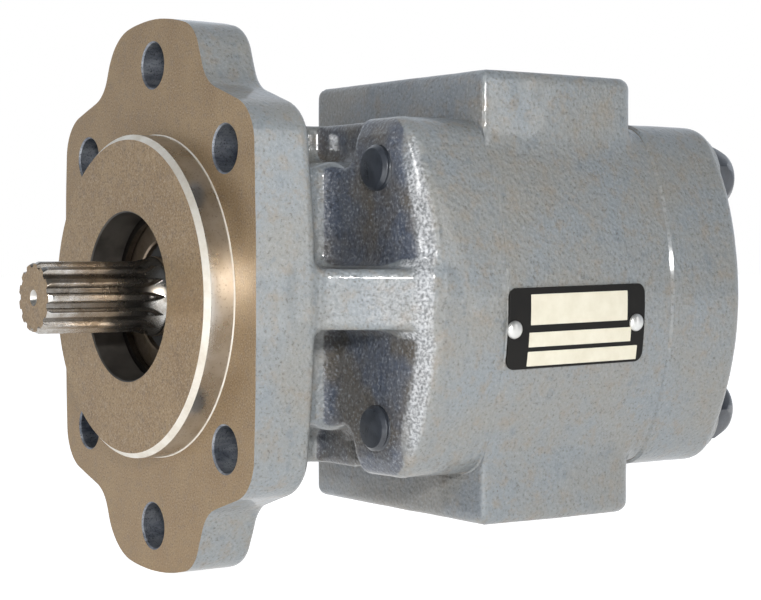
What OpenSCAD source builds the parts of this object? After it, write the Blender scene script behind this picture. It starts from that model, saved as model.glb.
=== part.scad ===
// External gear pump with an SAE B flange, a splined drive shaft and two flanged ports.
// The drive shaft lies on the Y axis and points along -Y, and the gears lie side by side along X.
// The origin is the centre of the flange's mounting face, on the drive shaft's axis.

/* [Mounting flange] */
// Thickness of the mounting flange
flange_t = 20; // [16:0.5:22]
// Half of the flange's width between its slightly bulging sides
flange_half_w = 62.8; // [61:0.1:66]
// Half of the flange's height over its two ears, whose ends are arcs about the shaft's axis
ear_half_h = 88; // [86:0.5:92]
// Half of the angle that an ear's end spans about the shaft's axis, in degrees
ear_end_angle = 13.5; // [11:0.5:15]
// How far an ear's sides lean in towards its end, in degrees
ear_side_angle = 22; // [10:1:25]
// Radius of an ear's corners
ear_corner_r = 12; // [9:0.5:14]
// Radius of the flange's outer corners
flange_corner_r = 14; // [12:0.5:16]
// Slope of the flange's shoulders, in degrees
shoulder_angle = 18; // [14:1:22]
// Radius of the hollow corner between shoulder and ear
ear_fillet_r = 12.5; // [6:0.5:14]
// Radius of the pilot
pilot_r = 50.8; // [50.6:0.1:50.8]
// How far the pilot stands out of the mounting face
pilot_h = 9.65; // [8:0.05:10]
// Diameter of the six mounting holes
mount_hole_d = 14.3; // [13.5:0.1:15]
// Bolt circle of the two holes in the ears
two_bolt_circle = 146.05; // [146.05]
// Bolt circle of the four holes in the corners
four_bolt_circle = 127; // [127]

/* [Castings] */
// Half of the castings' width, across both gears
body_half_w = 59.5; // [59:0.5:62]
// Half of the castings' height
body_half_h = 56; // [55:0.5:58]
// Radius of the bulging sides
side_r = 104; // [95:1:115]
// Radius of the castings' corners
body_corner_r = 14; // [12:0.5:15]
// Where the front cover's block begins
block_y = 47.5; // [47:0.5:52]
// Where the gear housing begins
housing_y = 77.1; // [76:0.1:79]
// Length of the gear housing
housing_l = 68.8; // [66:0.1:72]
// Length of the rear cover
rear_l = 34.1; // [33:0.1:38]
// Half of the neck's width
neck_half_w = 30; // [28:0.5:32]
// Half of the neck's height
neck_half_h = 41; // [38:0.5:42]
// Half of the thickness of the webs that join neck, flange and block
web_half_t = 9.2; // [6:0.1:11]

/* [Ports] */
// Height of the port faces above the centre plane
port_face_z = 71; // [69:0.5:73]
// Half of a port boss's width
boss_half_w = 46.8; // [46:0.1:47.5]
// How far the boss's sides swell out at their middle
boss_draft = 1.2; // [0:0.1:1.5]
// Length of a port boss
boss_l = 61.7; // [60:0.1:64]
// Diameter of the inlet
inlet_d = 38.1; // [36:0.1:38.1]
// Diameter of the outlet
outlet_d = 31.75; // [25:0.05:31.75]

/* [Gears and shaft] */
// Distance between the two gears' axes
centre_distance = 48; // [48]
// Teeth on each gear
gear_teeth = 12; // [12]
// Pressure angle of the gears, in degrees
gear_pressure_angle = 25; // [22:1:26]
// Thickness of each thrust plate
plate_t = 5.8; // [5:0.1:7]
// Outer diameter of the shaft's spline
spline_d = 22.225; // [22.225]
// Teeth on the spline
spline_teeth = 13; // [13]
// How far the shaft stands out of the mounting face
shaft_out = 41; // [38:0.5:45]
// Diameter of the shaft where the seal runs
seal_journal_d = 25.4; // [25.4]
// Diameter of the gears' journals
journal_d = 30; // [28:0.5:31]

/* [Fasteners and plate] */
// Diameter of the cap screws
screw_d = 14.29; // [12:0.01:14.29]
// Width across the flats of the cap screws' heads
screw_flats = 20.64; // [18:0.01:22]
// Length of the nameplate
nameplate_l = 55.8; // [50:0.1:57]
// Height of the nameplate
nameplate_h = 25; // [20:0.1:26]
// Tilt of the nameplate, with its rear end higher, in degrees
nameplate_tilt = 1.25; // [0:0.25:3]

/* [Hidden] */
$fn = 72;

paint = [0.52, 0.56, 0.60];
steel = [0.62, 0.60, 0.57];
bronze = [0.72, 0.56, 0.32];
rubber = [0.12, 0.12, 0.12];

overlap = 0.5;                       // how far cutters and joined shapes pass a face
rear_y = housing_y + housing_l;      // seam between gear housing and rear cover
back_y = rear_y + rear_l;            // rear face of the pump
body_x = centre_distance / 2;        // centre of the castings' width

// Outline of the castings: two wide arcs joined by four corner circles
side_arc_x = side_r - body_half_w;   // a side arc's centre lies this far past the middle
rear_half_h = body_half_h + 1;       // the rear cover is a little taller than the others

// Flange outline
flange_corner_z = 46;
flange_side_r = 1058;                // radius of the flange's bulging sides

four_bolt_xz = four_bolt_circle / 2 * cos(45);

// Front cover
pilot_chamfer = 1.6;
recess_y = 60;                       // bottom of the recesses between the corner bosses
recess_half_w = 19;
web_outer_x = body_x + body_half_w - 1;
seal_bore_r = 26.5;
seal_bore_end_y = 14;
shaft_bore_r = 17;
groove_y = 1.4;                      // front edge of the retaining ring's groove
groove_w = 2.5;
groove_depth = 1.7;

// Gears
gear_module = centre_distance / gear_teeth;
pitch_r = centre_distance / 2;
tip_r = pitch_r + gear_module;
root_r = pitch_r - 1.25 * gear_module;
pocket_r = tip_r + 0.1;
backlash_thinning = 0.12;            // taken off each tooth's width at the pitch circle
end_float = 0.05;                    // gap between a gear's face and a thrust plate
gear_start_y = housing_y + plate_t + end_float;
gear_end_y = rear_y - plate_t - end_float;
shaft_end_y = rear_y + 20.5;
shaft_shoulder_y = 37;
driven_start_y = housing_y - 20.5;

// Spline, 16/32 pitch with a 30 degree pressure angle
inch = 25.4;
spline_pitch_r = spline_teeth / 16 * inch / 2;
spline_root_r = spline_d / 2 - 1.75;
spline_tooth_w = PI * inch / 16 / 2;
spline_end_y = -8;                   // where the cutter starts to climb out
runout_angle = 24;
runout_l = 10;
taper_start_y = -7;
taper_end_y = -2;

// Bushings
bushing_l = 22;
bushing_wall = 3.2;
running_gap = 0.04;
bushing_r = journal_d / 2 + bushing_wall;
bushing_bore_r = journal_d / 2 + running_gap;
bushing_pocket_l = bushing_l + 0.3;

// Seals between the castings and behind the thrust plates
body_seal_r = 31;
body_seal_w = 2.2;
body_groove_w = 2.4;
body_groove_depth = 1.9;
plate_seal_r = 23;
plate_seal_w = 2.2;
plate_backup_w = 1;
plate_groove_depth = 2;

// Shaft seal, with its retaining ring in front of it
seal_y = 4;                          // front face of the seal case
seal_end_y = seal_bore_end_y;
seal_plate_t = 2;
seal_wall_t = 2;
seal_opening_r = 18;
seal_edge_break = 0.5;
lip_gap = 0.06;                      // the lip is drawn just clear of the shaft
spring_y = seal_y + 6.6;
spring_r = 16.6;
spring_wire_r = 0.9;
spring_gap = 0.02;
ring_t = 2;
ring_inner_r = 24.6;
ring_outer_gap = 0.2;
ring_gap_half_angle = 9;
ring_lug_r = 3;
ring_lug_hole_r = 1.2;
ring_lug_angle = ring_gap_half_angle + 5;

// Screws and dowels
screw_x = 32.5;                      // from the middle of the castings' width
screw_z = 40;
screw_tip_y = block_y - 2.5;
screw_tip_chamfer = 1;
screw_hole_y = screw_tip_y - 1;      // where the threaded holes end inside the neck's bosses
screw_boss_r = 12;                   // bosses on the neck, over the ends of the two screws beside it
screw_boss_y = screw_hole_y - 4;
screw_head_h = 11.6;
screw_head_turns = [[12, 34], [1, 21]];   // how each head happens to stand, by side and end
screw_head_gap = 0.01;               // the heads are drawn just clear of the rear cover
washer_face_h = 0.4;                 // raised round face under the head
screw_crown_h = 6.3;                 // height of the cone that turns the head's corners off
screw_crown_r = screw_flats / 2 - 0.6;
screw_clearance = 0.2;
dowel_r = 4;
dowel_l = 16;
dowel_z = 44;

// Ports: SAE code 61 split-flange pads
port_y = housing_y + boss_l / 2;
boss_corner_r = 6;
port_thread_depth = 18;
inlet_bolts = [69.9, 35.7];
inlet_bolt_r = 5.4;
outlet_bolts = [58.7, 30.2];
outlet_bolt_r = 4.7;
port_bore_l = 41;                    // full-width bore, which ends just outside the gear pockets
inlet_throat_r = 14;                 // narrower way from the bore into the pockets
outlet_throat_r = 12;
throat_end_z = 9;

// Nameplate, bent round the side of the gear housing
nameplate_t = 0.8;
nameplate_middle = [housing_y + 28.2, -8.7];
nameplate_corner_r = 3;
rivet_head_r = 2.85;
rivet_shank_r = 1.4;
rivet_depth = 3.2;
rivet_gap = 0.02;
rivet_dome_h = 1.7;
rivet_places = [[housing_y + 3, -9.6], [housing_y + 53, -8.3]];

// --- Shapes that repeat ---

// Extrudes an outline drawn in X and Z along Y, from one place to another
module along_y(start_y, end_y)
    translate([0, end_y, 0])
        rotate([90, 0, 0])
            linear_extrude(end_y - start_y)
                children();

// A round bar along Y
module bar(start_y, end_y, r)
    along_y(start_y, end_y)
        circle(r);

// A body turned about the Y axis from a list of [y, radius] points
module turned(points)
    rotate([90, 0, 0])
        rotate_extrude()
            polygon([for (p = points) [p[1], -p[0]]]);

// Puts its children in all four quarters of the XZ plane, about the Y axis
module four_ways()
    for (mx = [0, 1], mz = [0, 1])
        mirror([mx, 0, 0])
            mirror([0, 0, mz])
                children();

// The same for an outline, about the outline's origin
module four_quarters()
    for (mx = [0, 1], my = [0, 1])
        mirror([mx, 0])
            mirror([0, my])
                children();

module at_screws(sides = [-1, 1])
    for (x = sides, z = [-screw_z, screw_z])
        translate([body_x + x * screw_x, 0, z])
            children();

module at_dowels()
    for (z = [-dowel_z, dowel_z])
        translate([body_x, 0, z])
            children();

module at_gears()
    for (x = [0, centre_distance])
        translate([x, 0])
            children();

// The point one unit away from the origin in a direction
function toward(a) = [cos(a), sin(a)];

// Points along an arc, from one angle to another
function arc(centre, r, start, end, steps) =
    [for (i = [0 : steps]) centre + r * toward(start + (end - start) * i / max(steps, 1))];

// Outline of the castings, centred on the origin: wide side arcs that run into four round corners
module body_outline(half_h = body_half_h) {
    corner_z = half_h - body_corner_r;
    inner_side_r = side_r - body_corner_r;
    corner_x = sqrt(pow(inner_side_r, 2) - pow(corner_z, 2)) - side_arc_x;
    side_end = asin(corner_z / inner_side_r);
    right_half = concat(
        arc([corner_x, -corner_z], body_corner_r, -90, -side_end - 4, 8),
        arc([-side_arc_x, 0], side_r, -side_end, side_end, 24),
        arc([corner_x, corner_z], body_corner_r, side_end + 4, 90, 8)
    );
    polygon(concat(right_half, [for (p = right_half) -p]));
}

// A closed band round both gear pockets
module pocket_band(r, w)
    difference() {
        band_outline(r + w / 2);
        band_outline(r - w / 2);
    }

module band_outline(r) {
    at_gears()
        circle(r);
    translate([0, -r])
        square([centre_distance, 2 * r]);
}

// Angle between an involute's start and its point at radius r, in degrees
function involute_angle(base_r, r) =
    let (roll = sqrt(pow(r / base_r, 2) - 1))
    roll * 180 / PI - atan(roll);

// Half of the angle that a tooth takes up at radius r
function tooth_half_angle(pitch_r, pressure_angle, tooth_w, r) =
    let (base_r = pitch_r * cos(pressure_angle))
    tooth_w / 2 / pitch_r * 180 / PI + involute_angle(base_r, pitch_r) - involute_angle(base_r, r);

// Outline of an involute gear or spline with a tooth at angle 0
module toothed_outline(teeth, pitch_r, pressure_angle, tooth_w, root_r, tip_r, steps = 6) {
    base_r = pitch_r * cos(pressure_angle);
    start_r = max(base_r, root_r) + 0.001;
    radii = [for (i = [0 : steps]) start_r + (tip_r - start_r) * i / steps];
    half_angles = [for (r = radii) tooth_half_angle(pitch_r, pressure_angle, tooth_w, r)];
    polygon([
        for (tooth = [0 : teeth - 1])
            let (middle = 360 / teeth * tooth)
            each concat(
                [root_r * toward(middle - half_angles[0])],
                [for (i = [0 : steps]) radii[i] * toward(middle - half_angles[i])],
                [for (i = [steps : -1 : 0]) radii[i] * toward(middle + half_angles[i])],
                [root_r * toward(middle + half_angles[0])]
            )
    ]);
}

// --- Front cover ---

// Where two lines cross, each given by the direction of its normal and its distance from the origin
function crossing(angle_1, distance_1, angle_2, distance_2) =
    [
        distance_1 * sin(angle_2) - distance_2 * sin(angle_1),
        distance_2 * cos(angle_1) - distance_1 * cos(angle_2)
    ] / sin(angle_2 - angle_1);

// A closed outline from its points in the first quarter, which run from the X axis to the other
function four_way(quarter) =
    let (right = concat([for (i = [len(quarter) - 1 : -1 : 0]) [quarter[i].x, -quarter[i].y]], quarter))
    concat(right, [for (p = right) -p]);

// Bulging sides, round corners, sloping shoulders and two ears with round ends
module flange_outline() {
    side_centre = [flange_half_w - flange_side_r, 0];
    side_end = asin(flange_corner_z / (flange_side_r - flange_corner_r));
    corner = side_centre + (flange_side_r - flange_corner_r) * toward(side_end);
    shoulder = 90 - shoulder_angle;
    ear_end = 90 - ear_end_angle;
    ear_corner = (ear_half_h - ear_corner_r) * toward(ear_end);
    fillet = crossing(
        ear_side_angle, ear_corner * toward(ear_side_angle) + ear_corner_r + ear_fillet_r,
        shoulder, corner * toward(shoulder) + flange_corner_r + ear_fillet_r
    );
    polygon(four_way(concat(
        arc(side_centre, flange_side_r, side_end / 8, side_end * 0.6, 2),
        arc(corner, flange_corner_r, side_end, shoulder, 8),
        arc(fillet, ear_fillet_r, shoulder + 180, ear_side_angle + 180, 6),
        arc(ear_corner, ear_corner_r, ear_side_angle, ear_end, 6),
        arc([0, 0], ear_half_h, ear_end + 3, 88, 3)
    )));
}

module mounting_holes() {
    bar_end_y = flange_t + overlap;
    for (z = [-1, 1])
        translate([0, 0, z * two_bolt_circle / 2])
            bar(-overlap, bar_end_y, mount_hole_d / 2);
    four_ways()
        translate([four_bolt_xz, 0, four_bolt_xz])
            bar(-overlap, bar_end_y, mount_hole_d / 2);
}

// Webs in the centre plane that carry the flange's sides back to the block
module webs()
    translate([0, 0, -web_half_t])
        linear_extrude(2 * web_half_t)
            polygon([
                [-flange_half_w + 2, flange_t - overlap],
                [flange_half_w - 1, flange_t - overlap],
                [web_outer_x, block_y + overlap],
                [body_x - body_half_w + 3, block_y + overlap]
            ]);

module seal_bore()
    turned([
        [-pilot_h - overlap, 0],
        [-pilot_h - overlap, seal_bore_r],
        [groove_y, seal_bore_r],
        [groove_y, seal_bore_r + groove_depth],
        [groove_y + groove_w, seal_bore_r + groove_depth],
        [groove_y + groove_w, seal_bore_r],
        [seal_bore_end_y, seal_bore_r],
        [seal_bore_end_y, shaft_bore_r],
        [housing_y - bushing_pocket_l, shaft_bore_r],
        [housing_y - bushing_pocket_l, bushing_r],
        [housing_y + overlap, bushing_r],
        [housing_y + overlap, 0]
    ]);

module front_cover() {
    color(paint)
        difference() {
            union() {
                along_y(0, flange_t)
                    flange_outline();
                turned([
                    [-pilot_h, 0],
                    [-pilot_h, pilot_r - pilot_chamfer],
                    [-pilot_h + pilot_chamfer, pilot_r],
                    [flange_t / 2, pilot_r],
                    [flange_t / 2, 0]
                ]);
                along_y(flange_t - overlap, block_y + overlap)
                    square([2 * neck_half_w, 2 * neck_half_h], center = true);
                webs();
                at_screws([-1])
                    bar(screw_boss_y, block_y + overlap, screw_boss_r);
                along_y(block_y, housing_y)
                    translate([body_x, 0])
                        body_outline();
            }
            for (side = [0, 1])
                mirror([0, 0, side])
                    translate([body_x - recess_half_w, block_y - overlap, neck_half_h])
                        cube([2 * recess_half_w, recess_y - block_y + overlap, body_half_h]);
            mounting_holes();
            seal_bore();
            translate([centre_distance, 0, 0])
                bar(housing_y - bushing_pocket_l, housing_y + overlap, bushing_r);
            at_screws()
                bar(screw_hole_y, housing_y + overlap, screw_d / 2);
            at_dowels()
                bar(housing_y - dowel_l / 2, housing_y + overlap, dowel_r);
        }
}

// --- Gear housing ---

// Outline of both port bosses seen along Z, widest at the middle of its length
module boss_outline() {
    rear_half_w = boss_half_w - boss_corner_r;
    polygon([
        [-boss_half_w, 0],
        [-boss_half_w - boss_draft, boss_l / 2],
        [-boss_half_w, boss_l - boss_corner_r],
        [-rear_half_w, boss_l - boss_corner_r],
        [rear_half_w, boss_l - boss_corner_r],
        [boss_half_w, boss_l - boss_corner_r],
        [boss_half_w + boss_draft, boss_l / 2],
        [boss_half_w, 0]
    ]);
    translate([-rear_half_w, boss_l / 2])
        square([2 * rear_half_w, boss_l / 2]);
    for (x = [-rear_half_w, rear_half_w])
        translate([x, boss_l - boss_corner_r])
            circle(boss_corner_r);
}

// One port: its bore, the narrower throat down to the gears and four blind holes, opening towards +Z
module port_holes(port_d, throat_r, bolts, bolt_r) {
    translate([body_x, port_y, port_face_z - port_bore_l])
        cylinder(h = port_bore_l + overlap, d = port_d);
    translate([body_x, port_y, throat_end_z])
        cylinder(h = port_face_z - port_bore_l - throat_end_z + overlap, r = throat_r);
    for (x = [-1, 1], y = [-1, 1])
        translate([body_x + x * bolts[0] / 2, port_y + y * bolts[1] / 2, port_face_z - port_thread_depth])
            cylinder(h = port_thread_depth + overlap, r = bolt_r);
}

module body_seal_groove(start_y)
    along_y(start_y, start_y + body_groove_depth)
        pocket_band(body_seal_r, body_groove_w);

module gear_housing() {
    color(paint)
        difference() {
            union() {
                along_y(housing_y, rear_y)
                    translate([body_x, 0])
                        body_outline();
                translate([body_x, housing_y, -port_face_z])
                    linear_extrude(2 * port_face_z)
                        boss_outline();
            }
            along_y(housing_y - overlap, rear_y + overlap)
                at_gears()
                    circle(pocket_r);
            port_holes(outlet_d, outlet_throat_r, outlet_bolts, outlet_bolt_r);
            mirror([0, 0, 1])
                port_holes(inlet_d, inlet_throat_r, inlet_bolts, inlet_bolt_r);
            body_seal_groove(housing_y);
            body_seal_groove(rear_y - body_groove_depth);
            at_screws()
                bar(housing_y - overlap, rear_y + overlap, screw_d / 2 + screw_clearance);
            at_dowels() {
                bar(housing_y - overlap, housing_y + dowel_l / 2, dowel_r);
                bar(rear_y - dowel_l / 2, rear_y + overlap, dowel_r);
            }
            for (place = rivet_places)
                on_side(place)
                    cylinder(h = rivet_depth + overlap, r = rivet_shank_r);
        }
}

// --- Rear cover ---

module rear_cover() {
    color(paint)
        difference() {
            along_y(rear_y, back_y)
                translate([body_x, 0])
                    body_outline(rear_half_h);
            for (x = [0, centre_distance])
                translate([x, 0, 0])
                    bar(rear_y - overlap, rear_y + bushing_pocket_l, bushing_r);
            at_screws()
                bar(rear_y - overlap, back_y + overlap, screw_d / 2 + screw_clearance);
            at_dowels()
                bar(rear_y - overlap, rear_y + dowel_l / 2, dowel_r);
        }
}

// --- Gears ---

// A gear with a tooth at the given angle, between the thrust plates
module gear(first_tooth)
    along_y(gear_start_y, gear_end_y)
        intersection() {
            circle(tip_r);
            rotate(first_tooth)
                toothed_outline(
                    gear_teeth, pitch_r, gear_pressure_angle,
                    PI * gear_module / 2 - backlash_thinning, root_r, tip_r + 0.2
                );
        }

// Outline of the space between two teeth of the spline, centred on the X axis
module spline_space(steps = 4) {
    outer_r = spline_d / 2 + 2;
    radii = [for (i = [0 : steps]) spline_root_r + (outer_r - spline_root_r) * i / steps];
    half_angles = [
        for (r = radii)
            180 / spline_teeth - tooth_half_angle(spline_pitch_r, 30, spline_tooth_w, r)
    ];
    polygon([
        for (i = [0 : steps]) radii[i] * toward(-half_angles[i]),
        for (i = [steps : -1 : 0]) radii[i] * toward(half_angles[i])
    ]);
}

// What the cutter takes out for one space: a straight run, then a climb out of the shaft
module spline_cut() {
    along_y(-shaft_out - overlap, spline_end_y)
        spline_space();
    translate([spline_root_r, spline_end_y, 0])
        rotate([0, 0, -runout_angle])
            translate([-spline_root_r, 0, 0])
                along_y(0, runout_l)
                    spline_space();
}

module splined_end()
    difference() {
        turned([
            [-shaft_out, 0],
            [-shaft_out, spline_d / 2 - 1.4],
            [-shaft_out + 1.8, spline_d / 2],
            [taper_start_y, spline_d / 2],
            [taper_end_y, seal_journal_d / 2],
            [overlap, seal_journal_d / 2],
            [overlap, 0]
        ]);
        for (space = [0 : spline_teeth - 1])
            rotate([0, -360 / spline_teeth * (space + 0.5), 0])
                spline_cut();
    }

module drive_gear_shaft() {
    color(steel) {
        difference() {
            union() {
                splined_end();
                turned([
                    [0, 0],
                    [0, seal_journal_d / 2],
                    [shaft_shoulder_y - 2, seal_journal_d / 2],
                    [shaft_shoulder_y, journal_d / 2],
                    [shaft_end_y - 1, journal_d / 2],
                    [shaft_end_y, journal_d / 2 - 1],
                    [shaft_end_y, 0]
                ]);
                gear(0);
            }
            translate([0, -shaft_out - 0.01, 0])
                rotate([-90, 0, 0])
                    cylinder(h = 3.6, r1 = 2.4, r2 = 0.4);
        }
    }
}

module driven_gear_shaft() {
    color(steel)
        translate([centre_distance, 0, 0]) {
            turned([
                [driven_start_y, 0],
                [driven_start_y, journal_d / 2 - 1],
                [driven_start_y + 1, journal_d / 2],
                [shaft_end_y - 1, journal_d / 2],
                [shaft_end_y, journal_d / 2 - 1],
                [shaft_end_y, 0]
            ]);
            gear(180 / gear_teeth);
        }
}

// --- Bushings and thrust plates ---

module bushing(x, start_y)
    color(bronze)
        translate([x, 0, 0])
            along_y(start_y, start_y + bushing_l)
                difference() {
                    circle(bushing_r);
                    circle(bushing_bore_r);
                }

module front_drive_bushing() bushing(0, housing_y - bushing_l);
module front_driven_bushing() bushing(centre_distance, housing_y - bushing_l);
module rear_drive_bushing() bushing(0, rear_y);
module rear_driven_bushing() bushing(centre_distance, rear_y);

// Seal that shuts off the outlet half of a thrust plate: two arcs round the journals
module half_ring(r, w)
    intersection() {
        difference() {
            at_gears()
                circle(r + w / 2);
            at_gears()
                circle(r - w / 2);
        }
        translate([-tip_r, 2])
            square([centre_distance + 2 * tip_r, tip_r]);
    }

module thrust_plate(start_y, groove_start_y)
    color(bronze)
        difference() {
            along_y(start_y, start_y + plate_t)
                difference() {
                    at_gears()
                        circle(tip_r);
                    at_gears()
                        circle(journal_d / 2 + 0.3);
                }
            along_y(groove_start_y, groove_start_y + plate_groove_depth)
                half_ring(plate_seal_r, plate_seal_w + 2 * plate_backup_w);
        }

module front_thrust_plate() thrust_plate(housing_y, housing_y);
module rear_thrust_plate() thrust_plate(rear_y - plate_t, rear_y - plate_groove_depth);

module plate_seal(start_y)
    color(rubber)
        along_y(start_y, start_y + plate_groove_depth)
            half_ring(plate_seal_r, plate_seal_w);

module front_plate_seal() plate_seal(housing_y);
module rear_plate_seal() plate_seal(rear_y - plate_groove_depth);

// Back-up strips on both flanks of the plate seal
module plate_backup(start_y)
    color([0.85, 0.83, 0.76])
        along_y(start_y, start_y + plate_groove_depth)
            difference() {
                half_ring(plate_seal_r, plate_seal_w + 2 * plate_backup_w);
                half_ring(plate_seal_r, plate_seal_w);
            }

module front_plate_backup() plate_backup(housing_y);
module rear_plate_backup() plate_backup(rear_y - plate_groove_depth);

module body_seal(start_y)
    color(rubber)
        along_y(start_y, start_y + body_groove_depth)
            pocket_band(body_seal_r, body_seal_w);

module front_body_seal() body_seal(housing_y);
module rear_body_seal() body_seal(rear_y - body_groove_depth);

// --- Shaft seal ---

module shaft_seal_case() {
    color(steel)
        turned([
            [seal_y, seal_opening_r + seal_edge_break],
            [seal_y, seal_bore_r],
            [seal_end_y, seal_bore_r],
            [seal_end_y, seal_bore_r - seal_wall_t],
            [seal_y + seal_plate_t, seal_bore_r - seal_wall_t],
            [seal_y + seal_plate_t, seal_opening_r],
            [seal_y + seal_edge_break, seal_opening_r]
        ]);
}

// The lip stands on the case's front plate, bears on the shaft with one edge and carries the spring
module shaft_seal_lip() {
    outer_r = seal_bore_r - seal_wall_t;
    root_y = seal_y + seal_plate_t;
    edge_r = seal_journal_d / 2 + lip_gap;
    color(rubber)
        difference() {
            turned([
                [root_y, outer_r],
                [root_y, edge_r + 4.7],
                [root_y + 1, edge_r + 1.6],
                [root_y + 2.2, edge_r],
                [root_y + 3.4, edge_r + 1],
                [root_y + 4.4, edge_r + 2.1],
                [root_y + 5.2, spring_r],
                [root_y + 3.6, spring_r + 2],
                [root_y + 2.6, spring_r + 3.4],
                [seal_end_y, outer_r - 1.5],
                [seal_end_y, outer_r]
            ]);
            spring_ring(spring_wire_r + spring_gap);
        }
}

module spring_ring(wire_r)
    rotate([90, 0, 0])
        rotate_extrude()
            translate([spring_r, -spring_y])
                circle(wire_r, $fn = 24);

module seal_garter_spring() {
    color(steel)
        spring_ring(spring_wire_r);
}

// An internal retaining ring with its gap towards +X, and a holed lug at each end of the gap
module seal_retaining_ring() {
    ring_start_y = groove_y + (groove_w - ring_t) / 2;
    ring_outer_r = seal_bore_r + groove_depth - ring_outer_gap;
    lug_r = ring_inner_r - 0.6;
    color(steel)
        along_y(ring_start_y, ring_start_y + ring_t)
            difference() {
                union() {
                    difference() {
                        circle(ring_outer_r);
                        circle(ring_inner_r);
                        polygon([
                            [0, 0],
                            2 * seal_bore_r * toward(-ring_gap_half_angle),
                            2 * seal_bore_r * toward(ring_gap_half_angle)
                        ]);
                    }
                    at_lugs(lug_r)
                        circle(ring_lug_r);
                }
                at_lugs(lug_r - 0.4)
                    circle(ring_lug_hole_r, $fn = 24);
            }
}

module at_lugs(r)
    for (side = [-1, 1])
        rotate(side * ring_lug_angle)
            translate([r, 0])
                children();

// --- Fasteners ---

// A hex-head cap screw: the head is a hexagon whose corners are turned off above a round washer face
module cap_screw(turn) {
    head_y = back_y + screw_head_gap;
    head_end_y = head_y + screw_head_h;
    turned([
        [screw_tip_y, 0],
        [screw_tip_y, screw_d / 2 - screw_tip_chamfer],
        [screw_tip_y + screw_tip_chamfer, screw_d / 2],
        [head_y + screw_head_h / 2, screw_d / 2],
        [head_y + screw_head_h / 2, 0]
    ]);
    intersection() {
        along_y(head_y, head_end_y)
            rotate(turn)
                circle(screw_flats / 2 / cos(30), $fn = 6);
        turned([
            [head_y, 0],
            [head_y, screw_flats / 2],
            [head_y + washer_face_h, screw_flats / 2],
            [head_y + washer_face_h, screw_flats],
            [head_end_y - screw_crown_h, screw_flats],
            [head_end_y, screw_crown_r],
            [head_end_y, 0]
        ]);
    }
}

module cap_screws() {
    color(paint)
        for (side = [0, 1], end = [0, 1])
            translate([body_x + (2 * side - 1) * screw_x, 0, (2 * end - 1) * screw_z])
                cap_screw(screw_head_turns[side][end]);
}

module dowel_pins(seam_y)
    color(steel)
        at_dowels()
            bar(seam_y - dowel_l / 2 + 0.2, seam_y + dowel_l / 2 - 0.2, dowel_r);

module front_dowel_pins() dowel_pins(housing_y);
module rear_dowel_pins() dowel_pins(rear_y);

// --- Nameplate ---

// Puts its children on the side of the gear housing at [y, z], standing along the outward normal
module on_side(place, depth = rivet_depth)
    translate([body_x - side_arc_x, place[0], 0])
        rotate([0, 90 + asin(-place[1] / side_r), 0])
            translate([0, 0, side_r - depth])
                children();

module nameplate() {
    color([0.08, 0.08, 0.08])
        difference() {
            intersection() {
                along_y(housing_y, rear_y)
                    translate([body_x - side_arc_x, 0])
                        difference() {
                            circle(side_r + nameplate_t, $fn = 200);
                            circle(side_r, $fn = 200);
                        }
                translate([body_x, nameplate_middle[0], nameplate_middle[1]])
                    rotate([90, 0, 90])
                        linear_extrude(2 * body_half_w)
                            rotate(nameplate_tilt)
                                rounded_plate(nameplate_l, nameplate_h, nameplate_corner_r);
            }
            for (place = rivet_places)
                on_side(place)
                    cylinder(h = 3 * rivet_depth, r = rivet_shank_r);
        }
}

// Outline of a plate with round corners, centred on the origin
module rounded_plate(l, h, r) {
    x = l / 2 - r;
    y = h / 2 - r;
    polygon(concat(
        arc([x, y], r, 0, 90, 6),
        arc([-x, y], r, 90, 180, 6),
        arc([-x, -y], r, 180, 270, 6),
        arc([x, -y], r, 270, 360, 6)
    ));
}

module nameplate_rivets() {
    sphere_r = (pow(rivet_head_r, 2) + pow(rivet_dome_h, 2)) / 2 / rivet_dome_h;
    seat_z = rivet_depth + nameplate_t + rivet_gap;
    color(steel)
        for (place = rivet_places)
            on_side(place) {
                translate([0, 0, rivet_gap])
                    cylinder(h = seat_z, r = rivet_shank_r - rivet_gap);
                intersection() {
                    translate([0, 0, seat_z + rivet_dome_h - sphere_r])
                        sphere(sphere_r);
                    translate([0, 0, seat_z])
                        cylinder(h = 2 * rivet_dome_h, r = 2 * rivet_head_r);
                }
            }
}

front_cover();
gear_housing();
rear_cover();
drive_gear_shaft();
driven_gear_shaft();
front_drive_bushing();
front_driven_bushing();
rear_drive_bushing();
rear_driven_bushing();
front_thrust_plate();
rear_thrust_plate();
front_plate_seal();
rear_plate_seal();
front_plate_backup();
rear_plate_backup();
front_body_seal();
rear_body_seal();
shaft_seal_case();
shaft_seal_lip();
seal_garter_spring();
seal_retaining_ring();
cap_screws();
front_dowel_pins();
rear_dowel_pins();
nameplate();
nameplate_rivets();
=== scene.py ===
"""Looks of a cast-iron hydraulic gear pump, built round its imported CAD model.

The castings are made the way real ones are. A rounded blank is described as a distance field and meshed,
and cutters then machine the faces, bores and holes, each leaving its own finish. Sizes are in millimetres
up to the point where a mesh is made. Y is the drive shaft's axis, and the flange's face is at Y = 0.
"""

import math

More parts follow.
